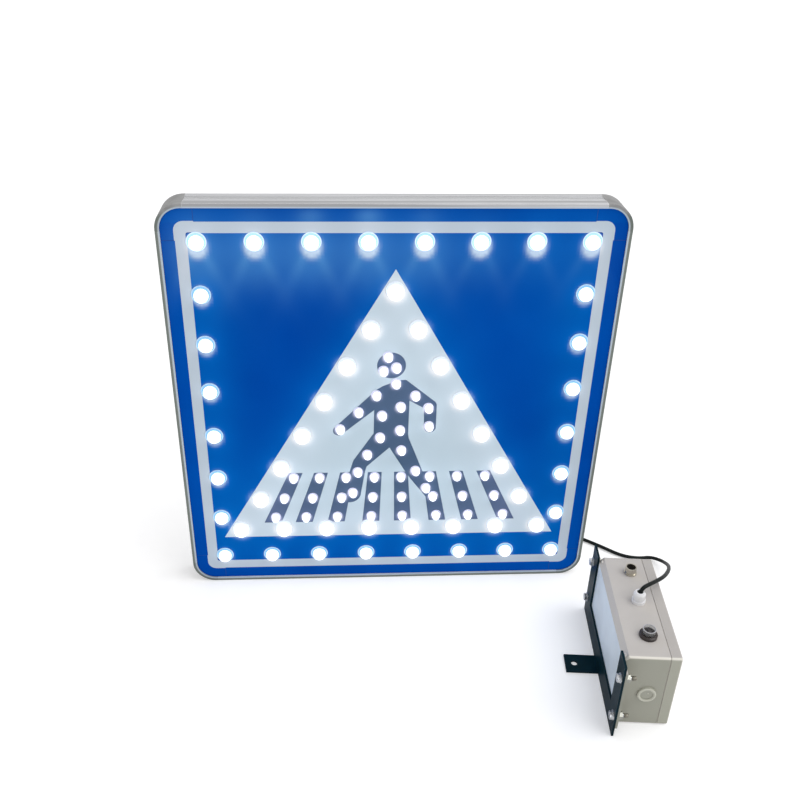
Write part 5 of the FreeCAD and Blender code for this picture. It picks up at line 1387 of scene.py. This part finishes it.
@dataclass
class Back:
    """Back cover, slotted rails, studs and what hangs on the cover inside."""

    stud_spots: tuple[Spot, ...] = (
        (100.0, 150.0), (-100.0, 150.0), (100.0, -150.0), (-100.0, -150.0))
    screw_line: float = 297.9
    screw_spacing: float = 200.0
    cover_back: float = 20.0
    head: float = 2.2
    thread_start: float = 50.2
    stud_end: float = 80.8
    stud_radius: float = 3.8
    pitch: float = 1.25
    ridge: float = 0.32
    ridge_sunk: float = 0.1
    plain_end: float = 1.0
    recess: Triple = (3.0, 0.7, 0.16)

    def build(self, bench: Bench) -> None:
        """Dress the back and add threads and screw recesses."""
        zinc = Plated("zinc_plating").build()
        bench.dress(Drawn("cover_sheet", (176.0, 179.0, 182.0), Direction.ALONG_X, 0.45, 0.6).build(),
                    "back_cover")
        mill = Drawn("rail_mill_finish", (190.0, 192.0, 194.0), Direction.ALONG_X, 0.38, 0.7).build()
        bench.dress(mill, "back_rail_upper", "back_rail_lower")
        bench.dress(Cast("rivet_metal_dull", (170.0, 172.0, 176.0), 0.42, 0.7).build(), "rail_rivets")
        bench.dress(zinc, "clamp_studs", "clamp_washers", "clamp_nuts", "cover_screws", "corner_keys",
                    "corner_key_screws", "board_screws", "bracket_bolts", "bracket_washers",
                    "bracket_nuts", "fitting_nuts", "lid_screws")
        bench.dress(Moulded("flasher_case", (44.0, 46.0, 50.0), 0.5).build(), "flasher_unit")
        bench.dress(Moulded("terminal_green", (66.0, 126.0, 92.0), 0.45).build(), "terminal_block")
        turns = (self.stud_end - self.thread_start - self.plain_end) / self.pitch
        starts = [Vector((across * MM, self.thread_start * MM, up * MM + SIGN_MIDDLE))
                  for across, up in self.stud_spots]
        threads = thread_recipe().serve("clamp_stud_threads", starts, {
            "Radius": (self.stud_radius - self.ridge_sunk) * MM, "Pitch": self.pitch * MM,
            "Turns": turns, "Ridge": self.ridge * MM, "Axis": (math.radians(-90.0), 0.0, 0.0)}, zinc)
        bench.keep(threads, "zinc_steel")
        line, step = self.screw_line, self.screw_spacing
        heads = []
        for side in (-step, 0.0, step):
            heads += [(side, line), (side, -line), (line, side), (-line, side)]
        spots = [Vector((across * MM, (self.cover_back + self.head) * MM, up * MM + SIGN_MIDDLE))
                 for across, up in heads]
        black = Moulded("recess_shadow", (26.0, 27.0, 29.0), 0.7).build()
        long, wide, deep = self.recess
        recesses = recess_recipe().serve("cover_screw_recesses", spots, {
            "Length": long * MM, "Width": wide * MM, "Depth": deep * MM,
            "Axis": (math.radians(90.0), 0.0, 0.0)}, black)
        bench.keep(recesses, "zinc_steel")


@dataclass
class ControlBox:
    """The control box, its bracket, and the fittings on its top and near end.

    Lengths are in millimetres. A recess is given by length, width and depth, the plug's ring by
    inner and outer radius, thickness and bead, the gate mark and the bolts' tips by radius,
    height and shoulder, and the bolts' thread by radius, pitch, turns and ridge.
    """

    place: BoxPlace = field(default_factory=BoxPlace)
    height: float = 121.0
    fitting_line: float = 38.5
    half_length: float = 97.5
    bolt_line: float = 111.5
    bolt_rows: Spot = (98.5, 30.5)
    bolt_end: float = 9.8
    bolt_sunk: float = 0.6
    plug_height: float = 57.0
    sensor_place: float = -58.5
    sensor_foot: float = 4.8
    sensor_rim: float = 12.6
    sensor_sill: float = 3.4
    gland_place: float = 6.0
    flutes_up: float = 9.3
    sign_flutes: Triple = (235.0, 29.3, 48.0)
    flute_ring: float = 7.55
    flute_length: float = 8.2
    flute_width: float = 1.2
    flute_count: int = 18
    recess: Triple = (3.4, 0.8, 0.16)
    post_line: float = 90.5
    post_low: float = 7.0
    post_high: float = 114.0
    depth: float = 75.0
    plug_ring: tuple[float, float, float, float] = (8.2, 12.3, 3.4, 1.9)
    gate_mark: Triple = (1.2, 0.6, 0.5)
    bolt_tip: Triple = (2.7, 8.0, 0.9)
    bolt_thread: tuple[float, float, float, float] = (2.65, 1.0, 6.6, 0.3)
    round_sides: int = 48
    shell: Triple = (194.0, 189.0, 184.0)

    def build(self, bench: Bench) -> None:
        """Dress the box and add the grip flutes, threads and recesses."""
        # Painted light on the box: lighter edges and rounded edges are painted highlights, the back
        # face has the sign's bluish light painted on, and the near end painted shade.
        bench.dress(Moulded("box_shell", self.shell, 0.42, 0.025, edge_wear_and_highlight=0.3,
                            rounded=(236.0, 232.0, 222.0), sign_light_tint=(230.0, 241.0, 250.0),
                            ends=(170.0, 170.0, 157.0)).build(),
                    "box_base")
        # The lid: the box's plastic made 5% darker as painted shade, with painted edge highlights and
        # near-end shade.
        bench.dress(Moulded("lid_shell", shade(self.shell, 0.95), 0.42, 0.025, edge_wear_and_highlight=0.3,
                            rounded=(232.0, 229.0, 219.0), ends=(180.0, 180.0, 166.0)).build(),
                    "box_lid")
        bench.dress(GlossPaint("bracket_enamel", (12.0, 36.0, 44.0), (52.0, 74.0, 86.0)).build(),
                    "box_bracket")
        bench.dress(Moulded("gasket_rubber", (204.0, 200.0, 190.0), 0.7).build(), "lid_gasket")
        bench.dress(Moulded("seal_rubber_dark", (34.0, 36.0, 36.0), 0.6).build(), "gland_seals")
        white = Moulded("gland_nylon_white", (238.0, 238.0, 240.0), 0.38, 0.02).build()
        bench.dress(white, "gland_bodies", "gland_caps", "gland_locknuts")
        bench.dress(Cast("socket_nickel", (206.0, 201.0, 190.0), 0.12, 1.0, 900.0, 0.00003).build(),
                    "socket_shell")
        # Black plastic insert, darkened further as painted shade in the socket's mouth.
        bench.dress(Moulded("socket_black", (7.0, 7.0, 8.0), 0.35, gloss=0.2).build(), "socket_insert")
        # Lighter edges on the dark ring: a painted highlight.
        dark = Moulded("sensor_ring_dark", (50.0, 44.0, 43.0), 0.25, 0.3, edge_wear_and_highlight=0.9).build()
        self.add_sensor_cap(bench, dark)
        # The plug: the near end's painted shade colour, with painted highlights on its edges.
        bench.dress(Moulded("plug_plastic_pale", (176.0, 176.0, 163.0), 0.4, 0.02, edge_wear_and_highlight=0.6).build(),
                    "blanking_plug")
        self.add_plug_ring(bench)
        self.add_bolt_ends(bench)
        bench.dress(Plated("nut_zinc_dull", (176.0, 176.0, 168.0), 0.34).build(), "bracket_nuts")
        bench.dress(Moulded("battery_wrap", (40.0, 70.0, 128.0), 0.3).build(), "battery")
        bench.dress(Cast("post_brass", (196.0, 168.0, 96.0), 0.35, 0.9).build(), "controller_posts")
        bench.dress(Moulded("chip_epoxy", (28.0, 28.0, 30.0), 0.5).build(), "controller_chips")
        flutes = flute_recipe()
        grip = {"Radius": self.flute_ring * MM, "Length": self.flute_length * MM,
                "Width": self.flute_width * MM, "Count": self.flute_count}
        cap = self.place.at(self.fitting_line, self.gland_place, self.height + self.flutes_up)
        for name, spot, axis in (
                ("box_gland_flutes", cap, self.place.facing((0.0, 0.0, 0.0))),
                ("sign_gland_flutes", Vector(self.sign_flutes) * MM, (math.radians(-90.0), 0.0, 0.0))):
            bench.keep(flutes.serve(name, [spot], {**grip, "Axis": axis}, white), "gland_plastic")
        black = bpy.data.materials["recess_shadow"]
        corners = [self.place.at(self.depth, away, up) for away in (self.post_line, -self.post_line)
                   for up in (self.post_low, self.post_high)]
        long, wide, deep = self.recess
        recesses = recess_recipe().serve("lid_screw_recesses", corners, {
            "Length": long * MM, "Width": wide * MM, "Depth": deep * MM,
            "Axis": self.place.facing((0.0, 90.0, 0.0))}, black)
        bench.keep(recesses, "zinc_steel")

    def add_sensor_cap(self, bench: Bench, dark: bpy.types.Material) -> None:
        """The sensor's head: a dark window under a clear wall that ends in a pale bead.

        Args:
            bench: The shared bench.
            dark: The finish of the low ring round it.
        """
        foot, rim = self.height + self.sensor_foot, self.height + self.sensor_rim
        clear = ClearCap("sensor_wall_clear").build()
        # The bead's pale colour, lighter at its rim, is painted light caught in the clear cap's edge.
        bead = LensCollar("sensor_bead_pale", (190.0, 190.0, 194.0), (208.0, 208.0, 212.0)).build()
        window = Moulded("sensor_window", (36.0, 32.0, 33.0), 0.12, 0.3, gloss=0.6).build()
        sill = foot + self.sensor_sill
        profiles = (
            ((8.4, foot), (8.4, rim - 0.7), (7.8, rim - 0.7), (7.8, foot), (8.4, foot)),
            ((8.5, rim - 0.8), (8.6, rim - 0.4), (8.4, rim), (7.9, rim + 0.1), (7.5, rim - 0.2),
             (7.5, rim - 0.7), (7.9, rim - 0.9), (8.5, rim - 0.8)),
            ((0.0, foot), (7.5, foot), (7.5, sill - 0.6), (7.1, sill), (5.4, sill), (5.0, sill - 0.5),
             (3.4, sill - 0.4), (2.6, sill + 0.3), (1.2, sill + 0.7), (0.0, sill + 0.8)))
        sides = self.round_sides
        spots, faces, which = [], [], []
        for finish, profile in enumerate(profiles):
            start = len(spots)
            for radius, up in profile:
                for step in range(sides):
                    angle = 2 * math.pi * step / sides
                    spots.append(tuple(self.place.at(self.fitting_line + radius * math.cos(angle),
                                                     self.sensor_place + radius * math.sin(angle), up)))
            for row in range(len(profile) - 1):
                for step in range(sides):
                    ahead = (step + 1) % sides
                    low, high = start + row * sides, start + (row + 1) * sides
                    faces.append((low + step, low + ahead, high + ahead, high + step))
                    which.append(finish)
        mesh = bpy.data.meshes.new("sensor_head")
        mesh.from_pydata(spots, [], faces)
        for finish in (clear, bead, window):
            mesh.materials.append(finish)
        mesh.polygons.foreach_set("material_index", which)
        mesh.polygons.foreach_set("use_smooth", [finish == 1 for finish in which])
        work = bmesh.new()
        work.from_mesh(mesh)
        bmesh.ops.remove_doubles(work, verts=work.verts, dist=WELD)
        bmesh.ops.recalc_face_normals(work, faces=work.faces)
        work.to_mesh(mesh)
        work.free()
        head = bpy.data.objects.new("sensor_head", mesh)
        bpy.context.scene.collection.objects.link(head)
        bench.keep(head, "sensor_dome", "sensor_dome", "sensor_core")
        bench.dress(dark, "sensor_base")

    def add_plug_ring(self, bench: Bench) -> None:
        """The raised bead round the blanking plug and the gate mark in its middle."""
        # Painted highlight: the bead and the gate mark are paler than the plug.
        pale = Moulded("plug_bead_pale", (208.0, 208.0, 194.0), 0.35, 0.03).build()
        axis = self.place.facing((90.0, 0.0, 0.0))
        spot = self.place.at(self.fitting_line, -self.half_length, self.plug_height)
        inner, outer, thick, bead = self.plug_ring
        ring = collar_recipe().serve("plug_ring", [spot], {
            "Inner radius": inner * MM, "Outer radius": outer * MM, "Thickness": thick * MM,
            "Bead radius": bead * MM, "Sides": self.round_sides, "Axis": axis}, pale)
        bench.keep(ring, "plug_plastic")
        middle = self.place.at(self.fitting_line + 1.5, -self.half_length - 1.5, self.plug_height + 2.0)
        radius, tall, shoulder = self.gate_mark
        dot = dome_recipe().serve("plug_gate_mark", [middle], {
            "Radius": radius * MM, "Height": tall * MM, "Shoulder": shoulder * MM, "Sides": 16,
            "Rings": 4, "Axis": axis}, pale)
        bench.keep(dot, "plug_plastic")

    def add_bolt_ends(self, bench: Bench) -> None:
        """The threaded ends of the bracket bolts, past their nuts."""
        zinc = Plated("bolt_end_zinc", (158.0, 154.0, 142.0), 0.34).build()
        axis = self.place.facing((0.0, 90.0, 0.0))
        starts = [self.place.at(self.bolt_end - self.bolt_sunk, away, up)
                  for away in (self.bolt_line, -self.bolt_line) for up in self.bolt_rows]
        radius, tall, shoulder = self.bolt_tip
        ends = dome_recipe().serve("bracket_bolt_ends", starts, {
            "Radius": radius * MM, "Height": tall * MM, "Shoulder": shoulder * MM, "Sides": 20,
            "Rings": 7, "Axis": axis}, zinc)
        bench.keep(ends, "zinc_steel")
        radius, pitch, turns, ridge = self.bolt_thread
        threads = thread_recipe().serve("bracket_bolt_threads", starts, {
            "Radius": radius * MM, "Pitch": pitch * MM, "Turns": turns, "Ridge": ridge * MM,
            "Axis": axis}, zinc)
        bench.keep(threads, "zinc_steel")


@dataclass
class Studio:
    """Pale floor, white surroundings and even light."""

    floor_size: float = 30.0
    air: float = 0.65
    floor_level: float = -0.0004
    floor_lift: float = 0.32
    sun_from: Triple = (0.50, -0.12, 0.88)
    sun_power: float = 1.35
    sun_width: float = 50.0

    def build(self) -> None:
        """Set the floor, the world and the sun."""
        self.lay_floor()
        self.fill_world()
        self.hang_sun()
        bpy.context.scene.view_settings.view_transform = "Standard"

    def lay_floor(self) -> None:
        """A wide pale floor that shows near white and keeps soft shadows."""
        half = self.floor_size / 2
        mesh = bpy.data.meshes.new("studio_floor")
        corners = [(-half, -half, 0.0), (half, -half, 0.0), (half, half, 0.0), (-half, half, 0.0)]
        mesh.from_pydata(corners, [], [(0, 1, 2, 3)])
        floor = bpy.data.objects.new("studio_floor", mesh)
        floor.location.z = self.floor_level
        bpy.context.scene.collection.objects.link(floor)
        surface = Surface("floor_paper")
        seen = surface.add("ShaderNodeLightPath")
        lift = surface.maths("MULTIPLY", seen.outputs["Is Camera Ray"], self.floor_lift)
        grain = surface.noise(surface.place(), 60.0)
        colour = surface.mix(surface.span(grain, 0.3, 0.7, 0.0, 1.0), paint(228, 228, 229),
                             paint(232, 232, 233))
        mesh.materials.append(surface.wear(Base_Color=colour, Roughness=0.9, Specular_IOR_Level=0.1,
                                           Emission_Color=(1.0, 1.0, 1.0, 1.0), Emission_Strength=lift))

    def fill_world(self) -> None:
        """White to the camera and through clear parts, a plain grey level as light."""
        world = bpy.data.worlds.new("studio_air")
        bpy.context.scene.world = world
        world.use_nodes = True
        tree = world.node_tree
        tree.nodes.clear()
        seen = tree.nodes.new("ShaderNodeLightPath")
        background = tree.nodes.new("ShaderNodeBackground")
        output = tree.nodes.new("ShaderNodeOutputWorld")
        shown = tree.nodes.new("ShaderNodeMath")
        shown.operation = "MAXIMUM"
        level = tree.nodes.new("ShaderNodeMapRange")
        tree.links.new(seen.outputs["Is Camera Ray"], shown.inputs[0])
        tree.links.new(seen.outputs["Is Transmission Ray"], shown.inputs[1])
        tree.links.new(shown.outputs[0], level.inputs["Value"])
        level.inputs["To Min"].default_value = self.air
        level.inputs["To Max"].default_value = 1.0
        tree.links.new(level.outputs["Result"], background.inputs["Strength"])
        background.inputs["Color"].default_value = (1.0, 1.0, 1.0, 1.0)
        tree.links.new(background.outputs["Background"], output.inputs["Surface"])

    def hang_sun(self) -> None:
        """One wide soft sun from the upper right."""
        data = bpy.data.lights.new("soft_sun", "SUN")
        data.energy = self.sun_power
        data.angle = math.radians(self.sun_width)
        light = bpy.data.objects.new("soft_sun", data)
        light.rotation_euler = (-Vector(self.sun_from)).to_track_quat("-Z", "Y").to_euler()
        bpy.context.scene.collection.objects.link(light)


def main() -> None:
    """Build the scene in order and report each piece."""
    logging.basicConfig(level=logging.INFO, format="%(name)s: %(message)s")
    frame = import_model()
    bench = Bench(frame["nodes"])
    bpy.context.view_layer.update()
    Camera().build()
    FeedCable().build(bench)
    lamps = Lamps()
    SignFrame().build(bench)
    Face(lamps).build(bench)
    Lenses(lamps).build(bench)
    Back().build(bench)
    ControlBox().build(bench)
    Studio().build()
    LOG.info("scene is ready")


if __name__ == "__main__":
    main()
